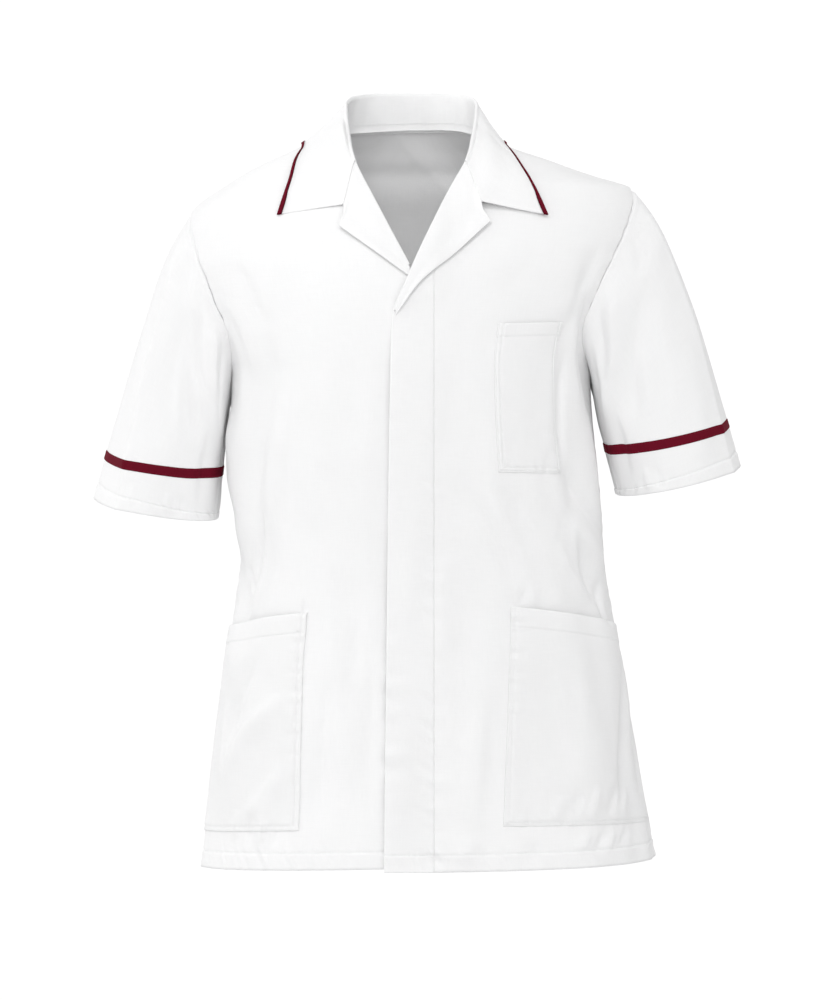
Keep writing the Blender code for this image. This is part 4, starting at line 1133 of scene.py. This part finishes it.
def collar_lines(side, at):
    """Foot, inner crest, roll, outer crest, via and edge of the cross-sections of half the collar."""
    sign = SIGN[side]
    roll = points_of((read(COLLAR, "roll_x", "at", at) - ROLL_NARROWER[side] * at) * sign,
                     read(COLLAR, "roll_y", "at", at), read(COLLAR, "roll_z", "at", at))

    def neck_chart(spot):
        turn, z = neckline(side, spot)
        return turn * sign, z

    neck, normal = form_point(*neck_chart(at)), form_normal(*neck_chart(at))
    behind = form_point(*neck_chart(np.maximum(at - NECK_STEP, 0)))
    ahead = form_point(*neck_chart(np.minimum(at + NECK_STEP, 1)))
    inwards = unit(np.cross(ahead - behind, normal)) * sign
    foot = neck - inwards * FOOT_INSIDE - normal * FOOT_BELOW
    out = unit(points_of(roll[:, 0], roll[:, 1] * CREST_TURN, 0))
    edge_z = read(COLLAR, "edge_z", "at", at)
    over_front = np.abs(turn_at(read(COLLAR_EDGE[side], "width", "z", edge_z) * sign, edge_z))
    on_front = rise(at, *EDGE_ON_FRONT)
    edge_turn = mix(read(COLLAR, "edge_" + side, "at", at), over_front, on_front)
    edge = laid_point(edge_turn * sign, edge_z, collar_lift(at))
    drop = np.array((0, 0, CREST_DROP))
    inner = roll - out * COLLAR_CREST - drop
    outer = roll + out * COLLAR_CREST - drop
    notch_turn = turn_at(np.array(NOTCH[0] * sign), NOTCH[1])
    notch = laid_point(notch_turn, NOTCH[1], COLLAR_LIFT + NOTCH_STAND[side])
    via = mix(mix(outer, edge, VIA), notch, rise(at, *BY_NOTCH)[:, None])
    return foot, inner, roll, outer, via, edge


CORNERED = (0.82, 0.16)     # from here the fall is made of two straighter parts
FALL_CLOSER, FALL_EASE = 0.6, 0.5


def half_collar(side, at, across):
    foot, inner, roll, outer, via, edge = collar_lines(side, at)
    stand = mix(foot, inner, (across / STAND)[:, None])
    bow = roll * 2 - (inner + outer) / 2
    round_share = ((across - STAND) / (ROLLED - STAND))[:, None]
    top = mix(mix(inner, bow, round_share), mix(bow, outer, round_share), round_share)
    share = (across - ROLLED) / (1 - ROLLED)
    cornered = rise(at, *CORNERED)[:, None]
    through = (edge - outer) * 0.5
    into = mix(through * VIA * 2, via - outer, cornered)
    onward = mix(through * (1 - VIA) * 2, edge - via, cornered)
    first = hermite(outer, via, via - outer, into, (share / VIA)[:, None])
    rest = hermite(via, edge, onward, edge - via, ((share - VIA) / (1 - VIA))[:, None])
    fall = np.where((share < VIA)[:, None], first, rest)
    fall = clear_of_body(fall, collar_lift(at) - FALL_CLOSER + FALL_EASE * (1 - share))
    return np.where((across < STAND)[:, None], stand, np.where((across < ROLLED)[:, None], top, fall))


def collar_surface(across, along):
    """Collar from its foot to its outer edge, and along from the right tip round to the left."""
    at = np.abs(along - 0.5) * 2
    points = np.zeros((len(at), 3))
    for side, sign in SIGN.items():
        here = (along >= 0.5) == (sign > 0)
        if here.any():
            points[here] = half_collar(side, at[here], across[here])
    return points


OVER_SHOULDER_AT = NECK_SIDE_AT - 0.035     # where the band goes out of sight behind the shoulder
TRIM_TURNED, TRIM_THINNED = (0.55, 0.075), (0.45, 0.085)    # how much narrower and thinner there, and reach


def over_shoulder(along, amount, reach):
    return amount * bump(np.abs(along - 0.5) * 2 - OVER_SHOULDER_AT, reach)


def trim_start(along):
    """Share across the collar where the band along its outer edge begins."""
    edge, inside = (collar_surface(np.full(len(along), share), along) for share in (1.0, 0.9))
    shown = COLLAR_TRIM_WIDTH * (1 - over_shoulder(along, *TRIM_TURNED))
    return 1 - 0.1 * shown / np.linalg.norm(edge - inside, axis=1)


COLLAR_STEP = 0.004         # share between the points that give the collar's normals


def collar_normal(across, along):
    return surface_normal(collar_surface, across, along, COLLAR_STEP)


COLLAR_LENGTH, COLLAR_WIDTH = 640, 90       # its cut
UNDER_TRIM = 0.01                           # share of the collar that goes on under its band
TRIM_SINK = 0.5
ON_FALL = (0.45, 0.2)
TIP_HOLLOW, TIP_HOLLOW_AT = 2.0, 0.56       # the fall's hollow near the left tip, and where it lies
TIP_HOLLOW_STARTS, TIP_HOLLOW_ENDS = (0.78, 0.1), (0.95, 0.05)


def collar_place(across, down):
    end = trim_start(down) + UNDER_TRIM
    share = across * end
    points = collar_surface(share, down)
    along, over = down * COLLAR_LENGTH, share * COLLAR_WIDTH
    by_tip = rise(down, *TIP_HOLLOW_STARTS) * (1 - rise(down, *TIP_HOLLOW_ENDS))
    ripple = undulation(along, over, *COLLAR_UNEVEN) * rise(share, *ON_FALL) * smooth((0.98 - share) * 6)
    ripple = ripple - TRIM_SINK * bump((end - share) * COLLAR_WIDTH, 1.6)
    ripple = ripple + undulation(along, over, *STAND_UNEVEN) * smooth((STAND - share) / 0.05)
    ripple = ripple - TIP_HOLLOW * bump(share - TIP_HOLLOW_AT, 0.11) * by_tip
    return points + scaled(collar_normal(share, down), ripple), on_cut(along, over)


TRIM_TOP, TRIM_ROUND = 0.55, 0.78           # shares across the binding where its face and its turn end
TRIM_LENGTH, TRIM_CUT_WIDTH = 700, 11
TRIM_UNDER = 3.5
TRIM_CLEAR = 0.15


def collar_trim_place(across, down):
    """Binding of the collar's edge: its face, round the edge, and under."""
    at_edge = np.ones(len(down))
    face = mix(trim_start(down), at_edge, np.clip(across / TRIM_TOP, 0, 1))
    points = collar_surface(face, down)
    normal = collar_normal(at_edge * 0.985, down)
    over = unit(collar_surface(at_edge, down) - collar_surface(at_edge * 0.97, down))
    half = (DOUBLED + 2 * TAPE) / 2 * (1 - over_shoulder(down, *TRIM_THINNED))
    angle = np.pi * np.clip((across - TRIM_TOP) / (TRIM_ROUND - TRIM_TOP), 0, 1)
    under = np.clip((across - TRIM_ROUND) / (1 - TRIM_ROUND), 0, 1) * TRIM_UNDER
    offset = scaled(over, half * np.sin(angle) - under) - scaled(normal, half * (1 - np.cos(angle)))
    return points + offset + normal * TRIM_CLEAR, on_cut(down * TRIM_LENGTH, across * TRIM_CUT_WIDTH)


# ---------------------------------------------------------------- sleeves
TUCK = 0.012                # share of the sleeve's length that goes under the armhole seam
TUCK_SLIDE, TUCK_SINK = 3.0, 1.3
MIDDLE_X = 205              # where the middle of a sleeve leaves the armhole
SLEEVE_GIRTH = 400.0
SLEEVE_LENGTH = 265.0
MM_PER_TURN = SLEEVE_GIRTH / 360


def sleeve_point(side, turn, share, lift=0.0):
    """Points of a sleeve: turn round it from its outer edge, share down from the armhole."""
    size, sign = SLEEVES[side], SIGN[side]
    angle = np.radians(turn)
    top = (1 + np.cos(angle)) / 2
    bulge = np.sin(angle)
    face = np.where(bulge >= 0, "front", "back")
    chart_turn, chart_z = armhole(side, np.abs(wrapped(turn)) / 180, face)
    start = cloth_point(chart_turn * sign, chart_z, -SEAM_DIP - 0.1)
    pinch = np.where(top > 0.5, SLEEVE_CREASE, 1.0)
    depth = np.sign(bulge) * np.abs(bulge) ** pinch
    hem = points_of((size.hem_x + size.out_x * np.cos(angle)) * sign,
                    size.hem_y - SLEEVE_HALF_DEPTH * depth,
                    size.hem_z + size.out_z * np.cos(angle) - SLEEVE_FRONT_DROP * depth)
    leave = points_of(mix(size.leave_under[0], size.leave_top[0], top) * sign,
                      -SLEEVE_FULLNESS * bulge,
                      mix(size.leave_under[1], size.leave_top[1], top))
    reach = points_of(mix(size.reach_under[0], size.reach_top[0], top) * sign, 0,
                      mix(size.reach_under[1], size.reach_top[1], top))
    inside = np.clip(share, 0, 1)
    path = hermite(start, hem, leave, reach, inside[:, None])
    out = unit(path - points_of(mix(MIDDLE_X, size.hem_x, inside) * sign, 0, path[:, 2]))
    tuck = np.clip(-share / TUCK, 0, 1)
    path = path - scaled(unit(leave), TUCK_SLIDE * tuck) - scaled(out, TUCK_SINK * tuck)
    return path + scaled(out, sleeve_relief(side, wrapped(turn), inside) + lift)


PRESSED = 4.2               # height of the ironed crease on a sleeve's outer side
PRESSED_BEHIND, BEHIND_TURN = 2.2, -14
TENT_HOLLOW_TURN = 104      # where the cloth falls in again beside the tent
CAP_STAND, CAP_ROUND, CAP_PUCKER = 1.3, 0.9, 0.5    # how a sleeve swells from its armhole seam
CAP_AT = 6
UNDERARM_WELT_TURN = 165.0
WELT_HALF = 3.0
FAR = 99                    # off the welt altogether


def sleeve_relief(side, turn, share):
    u, v = turn * SLEEVE_GIRTH / 360, share * SLEEVE_LENGTH
    height = fold_sum(SLEEVE_FOLDS, turn, share, SLEEVE_MM) * smooth(share * 6) * smooth((1 - share) * 8)
    rows = [(c.turn * MM_PER_TURN, c.share * SLEEVE_LENGTH, c.to_turn * MM_PER_TURN,
             c.to_share * SLEEVE_LENGTH, c.bow, c.width, c.height * SLEEVE_STRENGTH)
            for c in SLEEVE_CREASES[side]]
    height += crease_sum(rows, u, v)
    from_pressed = np.abs(turn - PRESSED_TURN[side] - PRESSED_DRIFT[side] * share) * MM_PER_TURN
    pressed = PRESSED * np.exp(-from_pressed / 12)
    pressed_behind = PRESSED_BEHIND * np.exp(-np.abs(turn - BEHIND_TURN) * MM_PER_TURN / 9)
    tented = TENT[side] * (np.exp(-from_pressed / 34) - 0.5 * bump(turn - TENT_HOLLOW_TURN, 26))
    height += (pressed + pressed_behind + tented) * smooth(share * 3.5)
    height += undulation(u, v, *SLEEVE_UNEVEN[side])
    height += CAP_STAND * smooth(v / 4.5) + CAP_ROUND * bump(v - CAP_AT, 5)
    height -= CAP_PUCKER * pucker(u, *CAP_DRAW) * bump(v - CAP_AT, 8)
    height += hem_band(SLEEVE_LENGTH - v, u, HEM_SEED["sleeve"], SLEEVE_HEM_BAND, SLEEVE_HEM_WAVE)
    welt = np.where(turn > 0, np.abs(turn - UNDERARM_WELT_TURN) * MM_PER_TURN, FAR)
    height += 0.55 * bump(welt, 2.0) - 0.6 * bump(welt - WELT_HALF, 0.9)
    return height


def sleeve_place(side):
    def place(across, down):
        share = mix(-TUCK, 1.0, down)
        cut = on_cut(across * SLEEVE_GIRTH, share * SLEEVE_LENGTH)
        return sleeve_point(side, wrapped(across * 360 * SIGN[side]), share), cut

    return place


SLEEVE_TOP_Z = -120         # about where the middle line of a sleeve starts
HIGH_ON_SLEEVE = 0.8        # share down a sleeve to which its length is measured from the hem


def sleeve_trim_place(side):
    def place(across, down):
        turn = wrapped(across * 360 * SIGN[side])
        low = sleeve_point(side, turn, np.ones(len(across)))
        high = sleeve_point(side, turn, np.full(len(across), HIGH_ON_SLEEVE))
        length = np.linalg.norm(high - low, axis=1) / (1 - HIGH_ON_SLEEVE)
        from_hem = SLEEVE_TAPE_FROM_HEM - SLEEVE_TAPE_WIDTH * (down - 0.5)
        round_edge = 0.35 * bump(np.minimum(down, 1 - down), 0.06)
        points = sleeve_point(side, turn, 1 - from_hem / length, TAPE + TRIM_CLEAR - round_edge)
        return points, on_cut(across * SLEEVE_GIRTH, down * SLEEVE_TAPE_WIDTH)

    return place


def to_sleeve_middle(side):
    size = SLEEVES[side]

    def inwards(points):
        share = np.clip((points[:, 2] - SLEEVE_TOP_Z) / (size.hem_z - SLEEVE_TOP_Z), 0, 1)
        return points_of(mix(MIDDLE_X, size.hem_x, share) * SIGN[side] - points[:, 0], -points[:, 1], 0)

    return inwards


# ---------------------------------------------------------------- pockets
POCKET_FLAT, POCKET_FULL = 1.3, 1.8     # lift of a pocket at its sewn edges and inside them
POCKET_STITCH_SINK = 0.75
POCKET_BAND = 0.4                       # what the turned top adds, and how deep its stitches sink
MOUTH = 2.1                             # how far a mouth gapes, for each millimetre of its stand
BY_SIDE_SEAM = (0.88, 0.1)              # a hip pocket is drawn up less here


def pocket_place(name):
    size = POCKETS[name]
    sign = SIGN[size.side]

    def corner(spot):
        x, z = spot
        return (HIP_POCKET_TURN if x is None else abs(float(turn_at(np.array(x * sign), z)))), z

    (top_start, top_start_z), (top_end, top_end_z) = corner(size.inner_top), corner(size.outer_top)
    (low_start, low_start_z), (low_end, low_end_z) = corner(size.inner_low), corner(size.outer_low)

    def place(across, down):
        turn = mix(mix(top_start, top_end, across), mix(low_start, low_end, across), down)
        z = mix(mix(top_start_z, top_end_z, across), mix(low_start_z, low_end_z, across), down)
        width = np.abs(girth(mix(top_end, low_end, down)) - girth(mix(top_start, low_start, down)))
        height = mix(top_start_z - low_start_z, top_end_z - low_end_z, across)
        from_side = np.minimum(across, 1 - across) * width
        from_low = (1 - down) * height
        from_edge = np.minimum(from_side, from_low)
        from_top = down * height
        puffed = mix(POCKET_FLAT, POCKET_FULL, smooth(from_edge / 9)) - 0.5 * bump(from_edge, 0.7)
        gape = np.sin(math.pi * np.clip(across * 1.04, 0.0, 1)) * (1 - smooth(down * 1.6))
        doubled = POCKET_BAND * (band_edge(from_top, size.band) - bump(from_top - size.band, 1.0))
        sewn = -POCKET_STITCH_SINK * sum(bump(from_edge - inset, 0.9) for inset in size.stitches)
        along = np.where(from_low < from_side, girth(turn), z)
        drawn = pucker(along, size.seed, POCKET_WAVE) * bump(from_edge - 4, 8)
        if size.outer_top[0] is None:
            drawn = drawn * (1 - 0.8 * rise(across, *BY_SIDE_SEAM))
        lift = puffed + size.stand * MOUTH * gape + doubled + sewn + drawn - 0.35 * bump(from_top, 0.7)
        return cloth_point(turn * sign, z, lift), on_cut(girth(turn) * sign, z)

    return place


# ---------------------------------------------------------------- the pieces
def into_fold(points):
    """The way into the folded collar: to the neck below its roll, and down above it."""
    low = (points[:, 2] < 0)[:, None]
    return np.where(low, to_axis(points), np.array((0.0, 0.0, -1.0)))


def make_pocket(name, columns, rows, side_reach, low_reach):
    """A pocket, its grid closer at its sewn edges and below its band."""
    make(name, spread(columns, (0.0, side_reach, 2), (1.0, side_reach, 2)),
         spread(rows, (0.0, 0.02, 3), (0.09, 0.02, 2), (1.0, low_reach, 2)), pocket_place(name), SHIRTING)


front_rows = spread(210, (0.0, 0.02, 4), (0.982, 0.012, 5))
round_sleeve = np.linspace(0, 1, 221)
make("back", spread(230, (0.0, 0.015, 5), (1.0, 0.015, 5), (0.5, 0.4, 0.1)),
     spread(175, (0.0, 0.01, 4), (0.982, 0.012, 5)), back_place, SHIRTING)
make("front_right", spread(150, (1.0, 0.02, 4)), front_rows, front_place("right"), SHIRTING)
make("front_left", spread(110, (0.0, 0.015, 5), (1.0, 0.02, 5)), front_rows, front_place("left"), SHIRTING)
make("placket", spread(34, (0.04, 0.06, 3), (0.96, 0.06, 3)), spread(300, (0.98, 0.015, 3)),
     placket_place, DOUBLED)
for side in SIGN:
    make("lapel_" + side, spread(46, (0.06, 0.09, 3), (1.0, 0.05, 2)), spread(90),
         lapel_place(side), SHIRTING)
    make("sleeve_" + side, round_sleeve, spread(120, (0.01, 0.02, 4), (0.95, 0.02, 4)),
         sleeve_place(side), SHIRTING, to_sleeve_middle(side), closed=True)
    make("sleeve_trim_" + side, round_sleeve, spread(8, (0.0, 0.1, 1), (1.0, 0.1, 1)),
         sleeve_trim_place(side), TAPE, to_sleeve_middle(side), closed=True, finish=MAROON)
make("collar", spread(64, (0.3, 0.08, 3), (1.0, 0.03, 2)), spread(240), collar_place, DOUBLED, into_fold)
make("collar_trim", np.linspace(0, 1, 19), spread(240), collar_trim_place, TAPE, finish=MAROON)
make_pocket("chest_pocket", 56, 80, 0.08, 0.05)
for side in SIGN:
    make_pocket("hip_pocket_" + side, 84, 96, 0.04, 0.03)

# ---------------------------------------------------------------- stitches
PANEL_MM, HEM_TRIES = 900, 6        # about how long a panel is, for finding its hem stitches
even = np.linspace(0, 1, 400)


def hem_line(place, hem_z, across):
    """Shares down a panel at which its hem stitches run."""
    down = np.full(len(across), 1 - HEM_BAND / PANEL_MM)
    for _ in range(HEM_TRIES):
        down = down + (place(across, down)[1][:, 1] - hem_z - HEM_BAND) / PANEL_MM
    return down


def hem_run(place, hem_z, across):
    return surface_run(place, across, hem_line(place, hem_z, across))


def pocket_runs(name):
    """Stitches round a pocket's sides and bottom, along its top band, and its corners' reinforcements."""
    place, size = pocket_place(name), POCKETS[name]
    sides = place(np.array([0.0, 1.0]), np.array([0.5, 0.5]))[0]
    width, height = float(np.linalg.norm(sides[1] - sides[0])), size.inner_top[1] - size.inner_low[1]
    runs = []
    for inset in size.stitches:
        side_share, low_share = inset / width, 1 - inset / height
        runs.append(surface_run(place, side_share, even * low_share))
        runs.append(surface_run(place, mix(side_share, 1 - side_share, even), low_share))
        runs.append(surface_run(place, 1 - side_share, even * low_share))
    side_share = size.stitches[0] / width
    runs.append(surface_run(place, mix(side_share, 1 - side_share, even), size.band / height))
    short = even[::20] / even[::20][-1]
    for from_x, from_z, to_x, to_z in POCKET_CORNERS[name]:
        across = mix(from_x, to_x, short) / width
        runs.append(surface_run(place, np.mod(across, 1.0), mix(from_z, to_z, short) / height))
    return runs


# Short runs that hold a pocket's top corners: across (under 0 counts from its outer edge) and down, mm.
POCKET_CORNERS = {
    "chest_pocket": ((1.4, 15, 9, 0.6), (-6, 0.6, -6, 12.5), (-6, 12.5, -1.4, 12.5)),
    "hip_pocket_right": ((6.4, 16, 6.4, 20), (7.0, 16, 7.0, 20), (7.6, 16, 7.6, 20), (8.2, 16, 8.2, 20),
                         (8.8, 16, 8.8, 20)),
    "hip_pocket_left": ((1.3, 16, 9.5, 0.8),),
}


BESIDE_WELT = 3.1


def sleeve_runs(side):
    """Stitches of a sleeve's hem and on both sides of its underarm seam."""
    place = sleeve_place(side)
    hem_share = 1 - SLEEVE_HEM_BAND / SLEEVE_LENGTH
    runs = [surface_run(place, even, (hem_share + TUCK) / (1 + TUCK))]
    for offset in (-BESIDE_WELT, BESIDE_WELT):
        turn = (UNDERARM_WELT_TURN + offset * 360 / SLEEVE_GIRTH) / 360
        share = turn if side == "left" else 1 - turn
        runs.append(surface_run(place, share, mix(0.05, 0.995, even)))
    return runs


for side in SIGN:
    across = np.linspace(0.002, 0.998, 400)
    front_hem_z = mix(HEM_FRONT_Z[side], HEM_SIDE_Z[side], across)
    sew("front_" + side, [hem_run(front_place(side), front_hem_z, across)])
    sew("sleeve_" + side, sleeve_runs(side))
    sew("sleeve_trim_" + side,
        [surface_run(sleeve_trim_place(side), even, share) for share in (0.16, 0.84)], MAROON)
    sew("hip_pocket_" + side, pocket_runs("hip_pocket_" + side))
across = np.linspace(0.001, 0.999, 700)
back_side_z = np.where(across >= 0.5, HEM_SIDE_Z["left"], HEM_SIDE_Z["right"])
sew("back", [hem_run(back_place, mix(HEM_BACK_Z, back_side_z, np.abs(across - 0.5) * 2), across)])
sew("placket", [surface_run(placket_place, 0.968, np.linspace(0.06, 0.999, 500)),
                hem_run(placket_place, HEM_FRONT_Z["left"], np.linspace(0.1, 0.97, 40))])
sew("chest_pocket", pocket_runs("chest_pocket"))
sew("collar", [surface_run(collar_place, 0.06, np.linspace(0.06, 0.94, 500), lift)
               for lift in (-DOUBLED, 0.0, DOUBLED)])

# ---------------------------------------------------------------- the kind of record a sheet's cut would fill; no sheets are listed
Cut = namedtuple("Cut", "width length area held rests_on")

# ---------------------------------------------------------------- floor, light and camera (m, W)
FLOOR_Z, FLOOR_RADIUS = -1.45, 4.0
CHEST = (0, 0, -0.35)
AreaLight = namedtuple("AreaLight", "name place side power")
AREA_LIGHTS = rows_of(
    AreaLight,
    ("high_key", (-0.6, -3.0, 3.2), 1.6, 50),
    ("left_side", (-4.0, -0.8, 0.6), 1.6, 28),
    ("right_fill", (2.8, -3.2, 1.0), 1.6, 13.5),
    ("front_fill", (0, -4.6, 0.3), 2.4, 23.5),
    ("back_soft", (-3.4, 2.6, 1.4), 1.6, 20),
)
# A narrow light from the upper left that reaches the right of the neck opening from inside.
NECK_LIGHT_PLACE, NECK_LIGHT_AIM = (-2.2, -3.4, 0.8), (0.065, 0.1, -0.03)
NECK_LIGHT_POWER, NECK_LIGHT_DEGREES, NECK_LIGHT_RADIUS = 330, 2.4, 0.15
WORLD_LIGHT, WORLD_SEEN = 0.672, 1.05       # strength of the white surroundings as light, and as seen
CAMERA_PLACE, CAMERA_LENS, CAMERA_SENSOR = (0.003, -4.0, -0.372), 144.0, 36.0
CAMERA_REACH = 60.0


def stage_floor():
    shape = bmesh.new()
    bmesh.ops.create_circle(shape, cap_ends=True, segments=96, radius=FLOOR_RADIUS)
    bmesh.ops.translate(shape, verts=shape.verts[:], vec=(0, 0, FLOOR_Z))
    mesh = bpy.data.meshes.new("floor")
    shape.to_mesh(mesh)
    shape.free()
    mesh.materials.append(new_material("pale_floor", (0.86, 0.86, 0.86), 0.9, 0.0))
    new_object("floor", mesh)


def aim_lamp(name, light, place, target):
    lamp = new_object(name, light)
    lamp.location = place
    lamp.rotation_euler = (Vector(target) - Vector(place)).to_track_quat("-Z", "Y").to_euler()


def lamps():
    for row in AREA_LIGHTS:
        light = bpy.data.lights.new(row.name, "AREA")
        light.shape = "SQUARE"
        light.size = row.side
        light.energy = row.power
        aim_lamp(row.name, light, row.place, CHEST)
    light = bpy.data.lights.new("neck_light", "SPOT")
    light.energy = NECK_LIGHT_POWER
    light.shadow_soft_size = NECK_LIGHT_RADIUS
    light.spot_size = math.radians(NECK_LIGHT_DEGREES)
    light.spot_blend = 1.0
    aim_lamp("neck_light", light, NECK_LIGHT_PLACE, NECK_LIGHT_AIM)


def surroundings():
    """White all round, a little brighter to the camera than as a light."""
    world = bpy.data.worlds.new("studio")
    world.use_nodes = True
    tree = world.node_tree
    background = tree.nodes["Background"]
    set_inputs(background, Color=(1.0, 1.0, 1.0, 1.0))
    seen = new_node(tree, "LightPath")
    level = new_node(tree, "MapRange", To_Min=WORLD_LIGHT, To_Max=WORLD_SEEN)
    tree.links.new(seen.outputs["Is Camera Ray"], level.inputs["Value"])
    tree.links.new(level.outputs["Result"], background.inputs["Strength"])
    bpy.context.scene.world = world
    bpy.context.scene.view_settings.view_transform = "Standard"
    bpy.context.scene.view_settings.look = "None"


def photo_camera():
    data = bpy.data.cameras.new("camera")
    data.sensor_width, data.lens = CAMERA_SENSOR, CAMERA_LENS
    data.clip_end = CAMERA_REACH
    camera = new_object("camera", data)
    camera.location = CAMERA_PLACE
    camera.rotation_euler = (math.radians(90), 0, 0)
    bpy.context.scene.camera = camera


stage_floor()
lamps()
surroundings()
photo_camera()
